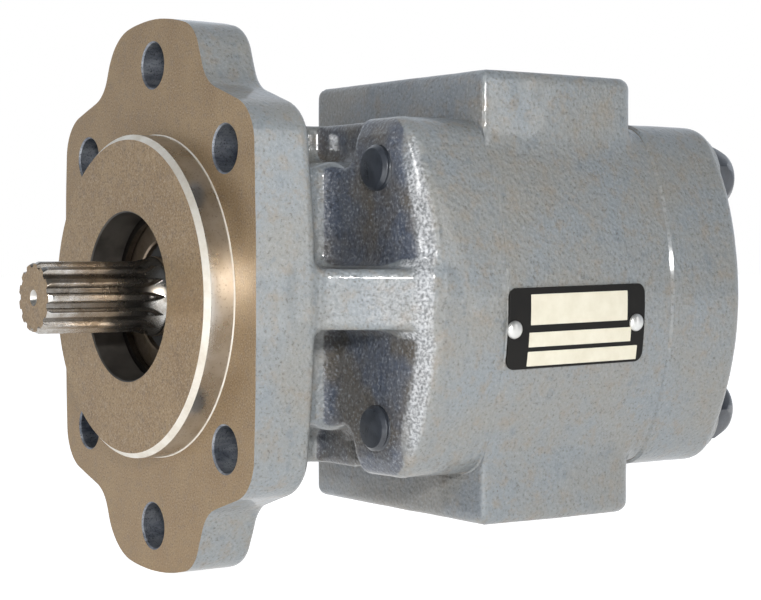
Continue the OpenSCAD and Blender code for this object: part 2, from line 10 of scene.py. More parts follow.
import bmesh
import bpy
import numpy as np
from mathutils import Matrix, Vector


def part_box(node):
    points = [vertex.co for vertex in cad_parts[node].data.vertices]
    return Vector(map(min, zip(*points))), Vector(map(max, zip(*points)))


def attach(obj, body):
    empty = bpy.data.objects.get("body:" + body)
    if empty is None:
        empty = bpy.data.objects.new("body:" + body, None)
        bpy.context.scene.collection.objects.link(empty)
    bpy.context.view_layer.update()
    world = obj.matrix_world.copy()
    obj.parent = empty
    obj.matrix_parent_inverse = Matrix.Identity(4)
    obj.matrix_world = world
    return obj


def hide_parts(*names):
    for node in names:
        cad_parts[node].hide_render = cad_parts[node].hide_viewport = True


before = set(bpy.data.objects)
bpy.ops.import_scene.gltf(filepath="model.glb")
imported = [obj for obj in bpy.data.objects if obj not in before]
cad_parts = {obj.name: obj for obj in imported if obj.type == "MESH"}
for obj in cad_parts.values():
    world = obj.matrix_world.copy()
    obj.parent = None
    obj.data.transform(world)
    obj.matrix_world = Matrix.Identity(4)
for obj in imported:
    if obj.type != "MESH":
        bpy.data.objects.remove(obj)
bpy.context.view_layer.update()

import openvdb
from mathutils import Matrix, Vector

MM = 0.001
GRID_STEP = 1.0   # spacing of the distance fields' samples
ROUND_SEGMENTS = 192                     # sides of a large turned surface

# --- Sizes that the frame gives ---


def span(node, axis):
    """Lowest and highest place of a CAD node along an axis, in millimetres."""
    low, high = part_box(node)
    return low[axis] / MM, high[axis] / MM


X, Y, Z = range(3)
PILOT_FRONT_Y = span("front_cover", Y)[0]
EAR_HALF_H = span("front_cover", Z)[1] - 0.6   # the rough ends fall a little short
FLANGE_HALF_W = -span("front_cover", X)[0]
HOUSING_Y, REAR_Y = span("gear_housing", Y)
BACK_Y = span("rear_cover", Y)[1]
PORT_FACE_Z = span("gear_housing", Z)[1]
BODY_LOW_X, BODY_HIGH_X = span("gear_housing", X)
BODY_X = (BODY_LOW_X + BODY_HIGH_X) / 2
BODY_HALF_W = (BODY_HIGH_X - BODY_LOW_X) / 2
REAR_HALF_H = span("rear_cover", Z)[1]
BODY_HALF_H = REAR_HALF_H - 1
GEAR_DISTANCE = 2 * BODY_X
SHAFT_TIP_Y, SHAFT_END_Y = span("drive_gear_shaft", Y)
BUSHING_R = (span("rear_drive_bushing", X)[1] - span("rear_drive_bushing", X)[0]) / 2
BUSHING_L = span("rear_drive_bushing", Y)[1] - REAR_Y
BUSHING_GAP = 0.3         # between a bushing's end and the bottom of its pocket
SCREW_TIP_Y, SCREW_HEAD_Y = span("cap_screws", Y)

# --- Sizes of the castings ---

FLANGE_T = 20.0
FLANGE_SWELL = 1.8        # how much thicker the flange is at its middle than at its ears
FLANGE_SIDE_R = 1058.0
FLANGE_CORNER_R = 14.0
FLANGE_CORNER_Z = 46.0
SHOULDER_ANGLE = math.radians(18)
EAR_FILLET_R = 12.5
EAR_SIDE_ANGLE = math.radians(22)
# Radius of each ear's corners and the angle from Z where they meet its end, on the near and the far side
EAR_CORNERS = [(12.0, math.radians(13.5)), (20.0, math.radians(10.1))]
PILOT_R = 50.8
PILOT_CHAMFER = 1.6
PILOT_ROOT = 0.35         # small chamfer left in the corner between the pilot and the flange's face
MOUNT_HOLE_R = 7.15
TWO_BOLT_R = 146.05 / 2
FOUR_BOLT_R = 127.0 / 2
BLOCK_Y = 47.5
SIDE_R = 104.0
BODY_CORNER_R = 14.0
BLOCK_BEVEL = (7.5, 3.7)  # legs of the bevel round the block's front edge, across and along the block
NECK_HALF_W = 30.0
NECK_HALF_H = 41.0
WEB_HALF_T = 9.2
PARTING_STEP = 0.45       # how far the casting's upper half stands out past its lower half
RECESS_Y = 60.0
RECESS_HALF_W = 19.0
SEAL_BORE_R = 26.5
SEAL_BORE_END_Y = 14.0
SHAFT_BORE_R = 17.0
GROOVE_Y = (1.4, 3.9)
GROOVE_R = 28.2
SCREW_X = 32.5
SCREW_Z = 40.0
SCREW_R = 7.145
SCREW_HOLE_R = SCREW_R + 0.2
SCREW_FLATS = 20.64
SCREW_HEAD_TURNS = [math.radians(turn) for turn in (12, 34, 1, 21)]
SCREW_CROWN_H = 6.3       # how far up the head its corners are turned off
WASHER_FACE_H = 0.4
NECK_BOSS_Y = 40.0        # where the bosses behind the flange's far side begin
NECK_BOSS_R = 12.0
SCREW_PITCH = 2.1
DOWEL_R = 4.0
DOWEL_Z = 44.0
DOWEL_L = 8.0
BOSS_L = 64.2
BOSS_HALF_W = 47.2
BOSS_DRAFT = 1.2
BOSS_CORNER_R = 8.0
BOSS_FRONT_R = 1.6
BOSS_GAP = 0.3            # from the front seam back to the boss's front face, which stays as cast
BOSS_RIM_R = 3.6
BOSS_STOCK = 0.25         # how far the blank stands past the port face
BOSS_FILLET_R = 2.0
REAR_RIM_R = 6.5
SPOT_FACE_R = 15.5
PORT_Y = HOUSING_Y + 30.85
PORT_DEPTH = 41.0         # down to the step where the bore narrows to its throat
PORT_THROAT_Z = 9.0
PORT_THREAD_DEPTH = 18.0
INLET = {"side": -1, "r": 19.05, "throat_r": 14.0, "bolts": (69.9, 35.7), "bolt_r": 5.4}
OUTLET = {"side": 1, "r": 15.875, "throat_r": 12.0, "bolts": (58.7, 30.2), "bolt_r": 4.7}
FRONT_GROOVE = (0.4, 0.45)  # half width and depth of the groove round the front seam
REAR_GROOVE = (0.8, 0.8)
POCKET_R = 28.1
SEAL_GROOVE_R = (29.8, 32.2)
SEAL_GROOVE_DEPTH = 1.9
SPLINE_TEETH = 13
SPLINE_R = 22.225 / 2
SPLINE_PITCH_R = SPLINE_TEETH / 16 * 25.4 / 2
SPLINE_ROOT_R = SPLINE_R - 1.75

# --- Distance fields: negative inside the metal, in millimetres ---


def rounded_join(a, b, r):
    """Where two fields overlap, with the edge between them rounded off."""
    return np.minimum(np.maximum(a, b), -r) + np.hypot(np.maximum(a + r, 0), np.maximum(b + r, 0))


def filleted_sum(a, b, r):
    """Two fields added together, with a fillet in the corner between them."""
    return np.maximum(np.minimum(a, b), r) - np.hypot(np.maximum(r - a, 0), np.maximum(r - b, 0))


def rounded_cut(a, b, r):
    """The first field with the second taken out of it, and the edge rounded off."""
    return rounded_join(a, -b, r)


def outline_distance(corners, u, v):
    """Signed distance from points to a closed outline."""
    corners = np.asarray(corners, float)
    nearest = (u - corners[0, 0]) ** 2 + (v - corners[0, 1]) ** 2
    sign = np.ones_like(nearest)
    for start, end in zip(corners, np.roll(corners, 1, axis=0)):
        edge_u, edge_v = end - start
        u_off, v_off = u - start[0], v - start[1]
        along = np.clip((u_off * edge_u + v_off * edge_v) / (edge_u ** 2 + edge_v ** 2), 0, 1)
        nearest = np.minimum(nearest, (u_off - edge_u * along) ** 2 + (v_off - edge_v * along) ** 2)
        above = v >= start[1]
        below_end = v < end[1]
        left = edge_u * v_off > edge_v * u_off
        crosses = (above & below_end & left) | (~above & ~below_end & ~left)
        sign = np.where(crosses, -sign, sign)
    return sign * np.sqrt(nearest)


def bevelled_join(a, b, legs, r):
    """Where two fields overlap, with the edge between them bevelled and both new edges rounded.
    The bevel's legs are how far it reaches back from the edge, across b's face and across a's."""
    bevel = (a * legs[1] + b * legs[0] + legs[0] * legs[1]) / math.hypot(*legs)
    return rounded_join(rounded_join(b, bevel, r / 2), a, r)


def slab(flat, along, start, end, r):
    """An outline extruded from start to end, with its rims rounded."""
    return rounded_join(flat, np.abs(along - (start + end) / 2) - (end - start) / 2, r)


def block_field(x, y, z, centre, half, r):
    """A box with rounded edges."""
    off = [np.abs(p - c) - h + r for p, c, h in zip((x, y, z), centre, half)]
    outside = np.sqrt(sum(np.maximum(o, 0) ** 2 for o in off))
    return outside + np.minimum(np.maximum(np.maximum(off[0], off[1]), off[2]), 0) - r


def bar_field(x, y, z, centre, start, end, radius, r):
    """A round bar along Y with rounded rims."""
    return slab(np.hypot(x - centre[0], z - centre[1]) - radius, y, start, end, r)


def arc(centre, r, start, end, steps):
    """Points along an arc, between two angles in radians."""
    return [
        (centre[0] + r * math.cos(a), centre[1] + r * math.sin(a))
        for a in np.linspace(start, end, steps + 1)
    ]


def four_way(quarter, far_quarter=None):
    """A closed outline from its points in the first quarter, which run from the X axis to the other.
    The side across from it can have a quarter of its own, given as if it were on this side."""
    halves = [
        [(x, -z) for x, z in reversed(points)] + points for points in (quarter, far_quarter or quarter)
    ]
    return halves[0] + [(-x, -z) for x, z in halves[1]]


def body_corners(half_h, inset=0.0):
    """Outline of the castings, or one inset from it: wide side arcs that run into four round corners."""
    side_arc_x = SIDE_R - BODY_HALF_W
    inner_r = SIDE_R - BODY_CORNER_R
    corner_z = half_h - BODY_CORNER_R
    corner_x = math.sqrt(inner_r ** 2 - corner_z ** 2) - side_arc_x
    side_end = math.asin(corner_z / inner_r)
    quarter = arc((-side_arc_x, 0), SIDE_R - inset, 0.01, side_end, 14)
    quarter += arc((corner_x, corner_z), BODY_CORNER_R - inset, side_end + 0.06, math.pi / 2, 12)
    return four_way(quarter)


def crossing(angle_1, distance_1, angle_2, distance_2):
    """Where two lines cross, each given by its normal's direction and its distance from the origin."""
    turn = math.sin(angle_2 - angle_1)
    return (
        (distance_1 * math.sin(angle_2) - distance_2 * math.sin(angle_1)) / turn,
        (distance_2 * math.cos(angle_1) - distance_1 * math.cos(angle_2)) / turn,
    )


def flange_quarter(ear_corner_r, ear_end_angle):
    """A quarter of the mounting flange: a bowed side, a sloping shoulder and half of a tapered ear."""
    slope_angle = math.pi / 2 - SHOULDER_ANGLE
    side_x = FLANGE_HALF_W - FLANGE_SIDE_R
    inner_r = FLANGE_SIDE_R - FLANGE_CORNER_R
    side_end = math.asin(FLANGE_CORNER_Z / inner_r)
    corner = (side_x + inner_r * math.cos(side_end), FLANGE_CORNER_Z)
    end_angle = math.pi / 2 - ear_end_angle
    ear_reach = EAR_HALF_H - ear_corner_r
    ear_corner = (ear_reach * math.cos(end_angle), ear_reach * math.sin(end_angle))
    shoulder = math.cos(slope_angle) * corner[0] + math.sin(slope_angle) * corner[1]
    ear_side = math.cos(EAR_SIDE_ANGLE) * ear_corner[0] + math.sin(EAR_SIDE_ANGLE) * ear_corner[1]
    fillet = crossing(
        slope_angle, shoulder + FLANGE_CORNER_R + EAR_FILLET_R,
        EAR_SIDE_ANGLE, ear_side + ear_corner_r + EAR_FILLET_R,
    )
    quarter = arc((side_x, 0), FLANGE_SIDE_R, side_end / 8, side_end * 0.8, 6)
    quarter += arc(corner, FLANGE_CORNER_R, side_end, slope_angle, 12)
    quarter += arc(fillet, EAR_FILLET_R, slope_angle - math.pi, EAR_SIDE_ANGLE - math.pi, 10)
    quarter += arc(ear_corner, ear_corner_r, EAR_SIDE_ANGLE, end_angle, 12)
    return quarter + arc((0, 0), EAR_HALF_H, end_angle, math.radians(89), 6)[1:]


def flange_corners():
    """Outline of the mounting flange."""
    return four_way(*[flange_quarter(*corner) for corner in EAR_CORNERS])


def body_field(x, z, half_h=BODY_HALF_H):
    return outline_distance(body_corners(half_h), x - BODY_X, z)


SCREWS = [(BODY_X + x, z) for x in (-SCREW_X, SCREW_X) for z in (-SCREW_Z, SCREW_Z)]
DOWELS = [(BODY_X, z) for z in (-DOWEL_Z, DOWEL_Z)]
GEARS = [(0.0, 0.0), (GEAR_DISTANCE, 0.0)]
STOCK = 4.0       # how far a blank stands past a face that is machined
OVERRUN = 30.0    # how far a blank or a cutter runs on past a seam


def front_cover_field(x, y, z):
    """Blank of the front cover: flange, pilot, neck, webs and block."""
    swell = FLANGE_SWELL * np.clip(1 - (z / FLANGE_CORNER_Z) ** 2, 0, 1)
    flange = slab(outline_distance(flange_corners(), x, z), y - swell, -STOCK - FLANGE_SWELL, FLANGE_T, 3.0)
    pilot = bar_field(x, y, z, (0, 0), PILOT_FRONT_Y - STOCK, FLANGE_T / 2, PILOT_R + STOCK, 2.0)
    neck = block_field(
        x, y, z, (0, (FLANGE_T + BLOCK_Y) / 2, 0), (NECK_HALF_W, BLOCK_Y - FLANGE_T, NECK_HALF_H), 2.0
    )
    far_x, near_x = -FLANGE_HALF_W + 3, FLANGE_HALF_W - 2
    web_side = outline_distance([
        (far_x, FLANGE_T - 6), (near_x, FLANGE_T - 6), (near_x, FLANGE_T + 1),
        (BODY_HIGH_X - 2, BLOCK_Y + 3), (BODY_HIGH_X - 6, BLOCK_Y + 14),
        (BODY_LOW_X + 6, BLOCK_Y + 14), (BODY_LOW_X + 2, BLOCK_Y + 3), (far_x, FLANGE_T + 1),
    ], x, y)
    web = rounded_join(web_side, np.abs(z) - WEB_HALF_T, 2.5)
    ragged = 0.12 * np.sin(0.9 * y) + 0.08 * np.sin(2.3 * y + 1)
    upper = PARTING_STEP * np.clip(0.5 - (z - ragged) / 0.5, 0, 1)
    side = body_field(x, z) + np.where(x > BODY_X, upper, 0)
    block = bevelled_join(side, BLOCK_Y - y, BLOCK_BEVEL, 2.5)
    for screw in SCREWS[:2]:
        boss = bar_field(x, y, z, screw, NECK_BOSS_Y, HOUSING_Y, NECK_BOSS_R, 2.0)
        block = filleted_sum(block, boss, 3.0)
    recess_flat = block_field(
        x - BODY_X, 0 * y, np.abs(z), (0, 0, NECK_HALF_H + 40), (RECESS_HALF_W, 1e3, 40), 7.0
    )
    recess = rounded_join(recess_flat, y - RECESS_Y, 3.0)
    block = rounded_cut(block, recess, 2.0)
    body = filleted_sum(block, neck, 7.0)
    body = filleted_sum(body, web, 4.0)
    return filleted_sum(np.minimum(flange, pilot), body, 4.0)


def boss_corners():
    """Outline of a port boss seen along Z, widest at its rear."""
    near_x, far_x = BOSS_HALF_W, BOSS_HALF_W + BOSS_DRAFT / 2
    right = arc((near_x - BOSS_FRONT_R, BOSS_GAP + BOSS_FRONT_R), BOSS_FRONT_R, -math.pi / 2, 0, 6)
    right.append((near_x + BOSS_DRAFT, BOSS_L / 2))
    right += arc((far_x - BOSS_CORNER_R, BOSS_L - BOSS_CORNER_R), BOSS_CORNER_R, 0, math.pi / 2, 8)
    return right + [(-x, y) for x, y in reversed(right)]


def gear_housing_field(x, y, z):
    """Blank of the gear housing: the body with a port boss on top and bottom."""
    body = slab(body_field(x, z), y, HOUSING_Y - OVERRUN, REAR_Y + OVERRUN, 1.0)
    boss_side = outline_distance(boss_corners(), x - BODY_X, y - HOUSING_Y)
    boss = rounded_join(boss_side, np.abs(z) - PORT_FACE_Z - BOSS_STOCK, BOSS_RIM_R)
    return filleted_sum(body, boss, BOSS_FILLET_R)


def rear_cover_field(x, y, z):
    """Blank of the rear cover, with a well-rounded rear rim and spot faces under the screw heads."""
    body = slab(body_field(x, z, REAR_HALF_H), y, REAR_Y - OVERRUN, BACK_Y, REAR_RIM_R)
    for screw in SCREWS:
        seat = np.maximum(
            bar_field(x, y, z, screw, REAR_Y - OVERRUN, BACK_Y, SPOT_FACE_R, 1.5),
            body_field(x, z, REAR_HALF_H) + 0.8,
        )
        body = np.minimum(body, seat)
    return body


# --- Meshes ---


def new_object(name, data):
    thing = bpy.data.objects.new(name, data)
    bpy.context.collection.objects.link(thing)
    return thing


def mesh_piece(name, points, faces, material=None, bands=None):
    """A piece from points in millimetres, with its normals turned outward.
    Given a list of materials, each face takes the one that its entry in bands names."""
    mesh = bpy.data.meshes.new(name)
    mesh.from_pydata(np.asarray(points) * MM, [], faces)
    mesh.update()
    if isinstance(material, list):
        finishes = list(dict.fromkeys(material))
        for finish in finishes:
            mesh.materials.append(finish)
        mesh.polygons.foreach_set("material_index", [finishes.index(material[band]) for band in bands])
    elif material:
        mesh.materials.append(material)
    shell = bmesh.new()
    shell.from_mesh(mesh)
    bmesh.ops.recalc_face_normals(shell, faces=shell.faces)
    shell.to_mesh(mesh)
    shell.free()
    return new_object(name, mesh)


def shade(piece, angle=35):
    """Smooth shading, with an edge sharp where its faces meet at more than the angle."""
    piece.data.shade_smooth()
    piece.data.set_sharp_from_angle(angle=math.radians(angle))


def slope(field, points, reach=0.05):
    """Direction in which a field grows at each point, and the field's value there."""
    value = field(*points.T)
    grown = [field(*(points + reach * np.eye(3)[axis]).T) - value for axis in range(3)]
    return np.stack(grown, axis=1) / reach, value


def lumps(points, rng, wave_lengths, height):
    """Uneven height over a sand-cast skin: a sum of waves in random directions."""
    total = np.zeros(len(points))
    for wave_length in wave_lengths:
        for _ in range(7):
            direction = rng.normal(size=3)
            direction *= 2 * math.pi / wave_length / np.linalg.norm(direction)
            total += np.sin(points @ direction + rng.uniform(0, 2 * math.pi)) * wave_length
    return height * total / np.abs(total).max()


def cast(name, field, low, high, material, seed):
    """Meshes a blank from its distance field, pulls it onto the true surface and adds the sand's lumps."""
    axes = [np.arange(a, b + GRID_STEP, GRID_STEP) for a, b in zip(low, high)]
    samples = field(*np.meshgrid(*axes, indexing="ij", sparse=True))
    grid = openvdb.FloatGrid(GRID_STEP * 4)
    grid.copyFromArray(np.ascontiguousarray(samples, dtype=np.float32))
    points, quads = grid.convertToQuads()
    points = points.astype(float) * GRID_STEP + np.array(low)
    for _ in range(2):
        gradient, value = slope(field, points)
        steepness = np.maximum((gradient ** 2).sum(axis=1), 0.25)
        points -= np.clip(value / steepness, -GRID_STEP, GRID_STEP)[:, None] * gradient
    gradient, _ = slope(field, points)
    gradient /= np.maximum(np.linalg.norm(gradient, axis=1), 1e-6)[:, None]
    points += gradient * lumps(points, np.random.default_rng(seed), (7.0, 12.0, 22.0), 0.16)[:, None]
    return mesh_piece(name, points, quads.tolist(), material)


def turned(name, profile, centre=(0, 0), material=None, segments=ROUND_SEGMENTS):
    """A solid turned about a line along Y, from (y, radius) points that start and end on the axis.
    The material may be a list, with one for each stretch of the profile."""
    points, rings = [], []
    for y, r in profile:
        if r == 0:
            rings.append([len(points)])
            points.append((centre[0], y, centre[1]))
            continue
        rings.append(list(range(len(points), len(points) + segments)))
        for step in range(segments):
            a = 2 * math.pi * step / segments
            points.append((centre[0] + r * math.cos(a), y, centre[1] + r * math.sin(a)))
    faces, bands = [], []
    for band, (inner, outer) in enumerate(zip(rings, rings[1:])):
        if len(inner) == len(outer) == 1:
            continue
        for step in range(segments):
            following = (step + 1) % segments
            corners = [inner[step % len(inner)], inner[following % len(inner)],
                       outer[following % len(outer)], outer[step % len(outer)]]
            faces.append(list(dict.fromkeys(corners)))
            bands.append(band)
    return mesh_piece(name, points, faces, material, bands)


def bar(name, start, end, r, centre=(0, 0), material=None, segments=64):
    return turned(name, [(start, 0), (start, r), (end, r), (end, 0)], centre, material, segments)


def upright_bar(name, start, end, r, centre, material, segments=96):
    """A round bar along Z, at centre = (x, y)."""
    piece = bar(name, start, end, r, (0, 0), material, segments)
    piece.data.transform(Matrix.Rotation(math.pi / 2, 4, "X"))
    piece.data.transform(Matrix.Translation((centre[0] * MM, centre[1] * MM, 0)))
    return piece


def box(name, low, high, material):
    corners = [(x, y, z) for x in (low[0], high[0]) for y in (low[1], high[1]) for z in (low[2], high[2])]
    faces = [(0, 1, 3, 2), (4, 5, 7, 6), (0, 1, 5, 4), (2, 3, 7, 6), (0, 2, 6, 4), (1, 3, 7, 5)]
    return mesh_piece(name, corners, faces, material)


def stacked(name, layers, material=None):
    """A solid along Y through outlines of (x, z) points, given as (y, outline) from front to back."""
    count = len(layers[0][1])
    points = [(x, y, z) for y, outline in layers for x, z in outline]
    last = len(points) - count
    faces = [list(range(count)), list(range(last, last + count))]
    for first in range(0, last, count):
        faces += [
            (first + i, first + (i + 1) % count, first + count + (i + 1) % count, first + count + i)
            for i in range(count)
        ]
    return mesh_piece(name, points, faces, material)


def prism(name, corners, start, end, material=None):
    """An outline of (x, z) points extruded along Y."""
    return stacked(name, [(start, corners), (end, corners)], material)


def combine(piece, others, operation):
    """Joins or cuts a piece with other solids, which are used up. Cut faces keep the cutter's material."""
    for other in others:
        step = piece.modifiers.new("combine", "BOOLEAN")
        step.operation = operation
        step.solver = "MANIFOLD"
        step.object = other
        step.material_mode = "TRANSFER"
    bpy.context.view_layer.update()
    finished = bpy.data.meshes.new_from_object(piece.evaluated_get(bpy.context.evaluated_depsgraph_get()))
    piece.modifiers.clear()
    piece.data = finished
    for other in others:
        bpy.data.objects.remove(other)
    return piece


def stand_for(piece, body, slot, *nodes):
    """Rides the piece on its body and hides the CAD nodes it stands for. The slot is not used."""
    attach(piece, body)
    if nodes:
        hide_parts(*nodes)


# --- Surface looks ---


def per_mm(size):
    """Texture scale whose features are about this many millimetres across."""
    return 1 / (size * MM)


class Nodes:
    """A node tree while it is being put together."""

    def __init__(self, owner):
        owner.use_nodes = True
        self.tree = owner.node_tree

    def add(self, kind, inputs=None, **settings):
        """Adds a node. An input given a socket is linked, and one given a value is set."""
        node = self.tree.nodes.new(kind)
        for key, value in settings.items():
            setattr(node, key, value)
        self.fill(node, inputs or {})
        return node

    def fill(self, node, inputs):
        for key, value in inputs.items():
            if isinstance(value, bpy.types.NodeSocket):
                self.tree.links.new(value, node.inputs[key])
            else:
                node.inputs[key].default_value = value

    def between(self, value, low, high, at_low=0.0, at_high=1.0):
        """Grows evenly from at_low to at_high while the value goes from low to high, and stays there."""
        return self.add("ShaderNodeMapRange", {
            "Value": value, "From Min": low, "From Max": high, "To Min": at_low, "To Max": at_high,
        }).outputs["Result"]


class Look(Nodes):
    """A node material while it is being put together."""

    def __init__(self, name):
        self.material = bpy.data.materials.new(name)
        super().__init__(self.material)
        self.surface = self.tree.nodes["Principled BSDF"]
        coordinates = self.add("ShaderNodeTexCoord").outputs
        self.place, self.normal = coordinates["Object"], coordinates["Normal"]

    def noise(self, size, detail=3.0, rough=0.55, stretch=(1, 1, 1)):
        """Noise from 0 to 1 with features of this size in millimetres, drawn out along stretch."""
        place = self.add("ShaderNodeMapping", {"Vector": self.place, "Scale": [1 / s for s in stretch]})
        return self.add("ShaderNodeTexNoise", {
            "Vector": place.outputs["Vector"], "Scale": per_mm(size), "Detail": detail, "Roughness": rough,
        }).outputs["Fac"]

    def pebbles(self, size):
        """Rounded pits about this many millimetres apart, as a height from 0 to about 1."""
        return self.add("ShaderNodeTexVoronoi", {
            "Vector": self.place, "Scale": per_mm(size), "Smoothness": 0.6,
        }, feature="SMOOTH_F1").outputs["Distance"]

    def ramp(self, value, *stops):
        """Turns a value into a colour or grey through (position, colour) stops."""
        node = self.add("ShaderNodeValToRGB", {"Fac": value})
        while len(node.color_ramp.elements) < len(stops):
            node.color_ramp.elements.new(0.5)
        for element, (position, colour) in zip(node.color_ramp.elements, stops):
            element.position = position
            element.color = (*colour, 1) if isinstance(colour, tuple) else (colour, colour, colour, 1)
        return node.outputs["Color"]

    def mix(self, amount, a, b):
        """Mixes two colours, given as sockets or as (red, green, blue)."""
        a, b = [(*colour, 1) if isinstance(colour, tuple) else colour for colour in (a, b)]
        return self.add("ShaderNodeMix", {0: amount, 6: a, 7: b}, data_type="RGBA").outputs[2]

    def overlaid(self, colour, *layers):
        """Lays tones over a colour, each as (noise, stop, stop, tone), where stops are (noise, cover)."""
        for noise, start, end, tone in layers:
            colour = self.mix(self.ramp(noise, start, end), colour, tone)
        return colour

    def calc(self, operation, a, b=0.0):
        return self.add("ShaderNodeMath", {0: a, 1: b}, operation=operation).outputs[0]

    def bump(self, height, depth):
        """Normals of a height field whose full height is depth millimetres."""
        node = self.add("ShaderNodeBump", {"Height": height, "Distance": depth * MM, "Strength": 1.0})
        return node.outputs["Normal"]

    def finish(self, **inputs):
        """Sets the surface's inputs, with underscores for spaces in their names, and returns the material."""
        self.fill(self.surface, {key.replace("_", " "): value for key, value in inputs.items()})
        return self.material


def cast_paint():
    """Gloss enamel over sand-cast iron: blue-grey clouded with brown, pebbled by the sand underneath.
    Faces that look forward are painted with shade, a dark navy tone that is heaviest behind the flange, where
    the flange shades them.
    The bevel on the block's near edge is rough, and carries a painted highlight: a light, silvery glint."""
    look = Look("cast_paint")
    broad = look.noise(24, detail=3)
    mottle = look.noise(5, detail=4, rough=0.65)
    grain = look.noise(0.9, detail=3, rough=0.6)
    swells = look.noise(2.6, detail=2, rough=0.5)
    colour = look.overlaid(
        (0.238, 0.262, 0.276),
        (broad, (0.38, 0.0), (0.62, 1.0), (0.256, 0.256, 0.240)),
        (mottle, (0.50, 0.0), (0.68, 0.7), (0.265, 0.232, 0.190)),
        (mottle, (0.30, 0.6), (0.42, 0.0), (0.165, 0.190, 0.212)),
        (grain, (0.30, 0.7), (0.44, 0.0), (0.10, 0.09, 0.078)),
        (grain, (0.56, 0.0), (0.70, 0.4), (0.36, 0.37, 0.375)),
    )
    # Painted shade: the dark navy tone laid on forward-looking faces, for the shade that the flange and the
    # block cast there.
    painted_shade_tone = look.overlaid(
        (0.062, 0.078, 0.118),
        (broad, (0.44, 0.0), (0.56, 1.0), (0.100, 0.084, 0.066)),
        (mottle, (0.35, 0.0), (0.7, 0.6), (0.13, 0.135, 0.145)),
        (grain, (0.32, 0.8), (0.46, 0.0), (0.03, 0.03, 0.034)),
        (grain, (0.55, 0.0), (0.66, 0.8), (0.26, 0.275, 0.30)),
    )
    facing = look.add("ShaderNodeSeparateXYZ", {"Vector": look.normal}).outputs["Y"]
    place = look.add("ShaderNodeSeparateXYZ", {"Vector": look.place}).outputs
    past_rim = look.between(place["X"], 60 * MM, 68 * MM)
    forward = look.between(look.calc("ADD", facing, look.calc("MULTIPLY", past_rim, 0.37)), -0.5, -0.6)
    depth = look.between(place["Y"], (HOUSING_Y - 8) * MM, RECESS_Y * MM, 0.30, 0.92)
    # Painted shade over faces that look forward, most behind the flange and less towards the housing.
    colour = look.mix(look.calc("MULTIPLY", forward, depth), colour, painted_shade_tone)
    bevel = look.calc("MULTIPLY", look.between(facing, -0.5, -0.75), look.between(facing, -0.97, -0.93))
    bevel = look.calc("MULTIPLY", bevel, look.between(place["X"], 68 * MM, 72 * MM))
    bevel = look.calc("MULTIPLY", bevel, look.between(place["Y"], 60 * MM, 56 * MM))
    # Painted highlight: a silvery glint laid on the bevel round the block's near edge.
    painted_glint = look.ramp(grain, (0.42, (0.22, 0.23, 0.24)), (0.60, (0.62, 0.63, 0.65)))
    colour = look.mix(look.calc("MULTIPLY", bevel, 0.75), colour, painted_glint)
    behind_flange = look.between(place["Y"], (FLANGE_T - 8) * MM, FLANGE_T * MM, 0.22, 0.32)
    pebble_depth = look.calc("ADD", behind_flange, look.calc("MULTIPLY", bevel, 0.35))
    pebbles = look.calc("MULTIPLY", look.pebbles(1.5), pebble_depth)
    height = look.calc("MULTIPLY", swells, 0.30)
    height = look.calc("ADD", height, look.calc("MULTIPLY", grain, 0.20))
    height = look.calc("ADD", height, pebbles)
    return look.finish(
        Base_Color=colour, Roughness=look.ramp(mottle, (0.3, 0.34), (0.7, 0.48)), Specular_IOR_Level=0.5,
        Coat_Weight=0.8, Coat_Roughness=0.09, Normal=look.bump(height, 1.0),
    )


def two_tone(name, pattern, tones, rough, skin=None, tone_at=(0.3, 0.7), **inputs):
    """A surface clouded from one tone to another and from one roughness to another.
    The pattern is the clouds' noise, and the skin is the size and depth of fine bumps, in millimetres."""
    look = Look(name)
    clouds = look.noise(**pattern)
    if skin:
        inputs["Normal"] = look.bump(look.noise(skin[0]), skin[1])
    return look.finish(
        Base_Color=look.ramp(clouds, *zip(tone_at, tones)),
        Roughness=look.ramp(clouds, (0.3, rough[0]), (0.7, rough[1])), **inputs,
    )


def hole_wall():
    """Drilled iron with a thin blue-grey haze of paint, streaked along the drill's way in."""
    look = Look("hole_wall")
    haze = look.noise(5, detail=4, rough=0.65, stretch=(1, 3, 1))
    streaks = look.noise(0.7, detail=3, stretch=(1, 9, 1))
    specks = look.noise(0.6, detail=3, rough=0.7)
    colour = look.ramp(haze, (0.34, (0.12, 0.135, 0.17)), (0.66, (0.44, 0.46, 0.49)))
    colour = look.overlaid(colour, (specks, (0.34, 0.8), (0.46, 0.0), (0.05, 0.05, 0.055)))
    return look.finish(
        Base_Color=colour, Metallic=0.8, Roughness=look.ramp(streaks, (0.3, 0.28), (0.7, 0.46)),
        Normal=look.bump(look.calc("ADD", streaks, specks), 0.06),
    )


def machined_iron():
    """Face-milled cast iron under a thin brown film of oil, with the iron's dark flecks of graphite."""
    look = Look("machined_iron")
    film = look.noise(20, detail=4, rough=0.6)
    patches = look.noise(3.5, detail=4, rough=0.7)
    grain = look.noise(0.55, detail=3, rough=0.75)
    colour = look.overlaid(
        (0.300, 0.196, 0.098),
        (film, (0.32, 0.0), (0.68, 1.0), (0.385, 0.270, 0.148)),
        (patches, (0.35, 0.5), (0.5, 0.0), (0.27, 0.20, 0.135)),
        (grain, (0.32, 0.9), (0.47, 0.0), (0.14, 0.105, 0.075)),
        (grain, (0.54, 0.0), (0.68, 0.7), (0.54, 0.45, 0.34)),
    )
    return look.finish(
        Base_Color=colour, Metallic=0.72, Roughness=look.ramp(film, (0.3, 0.40), (0.7, 0.52)),
        Coat_Weight=0.2, Coat_Roughness=0.25, Normal=look.bump(grain, 0.05),
    )


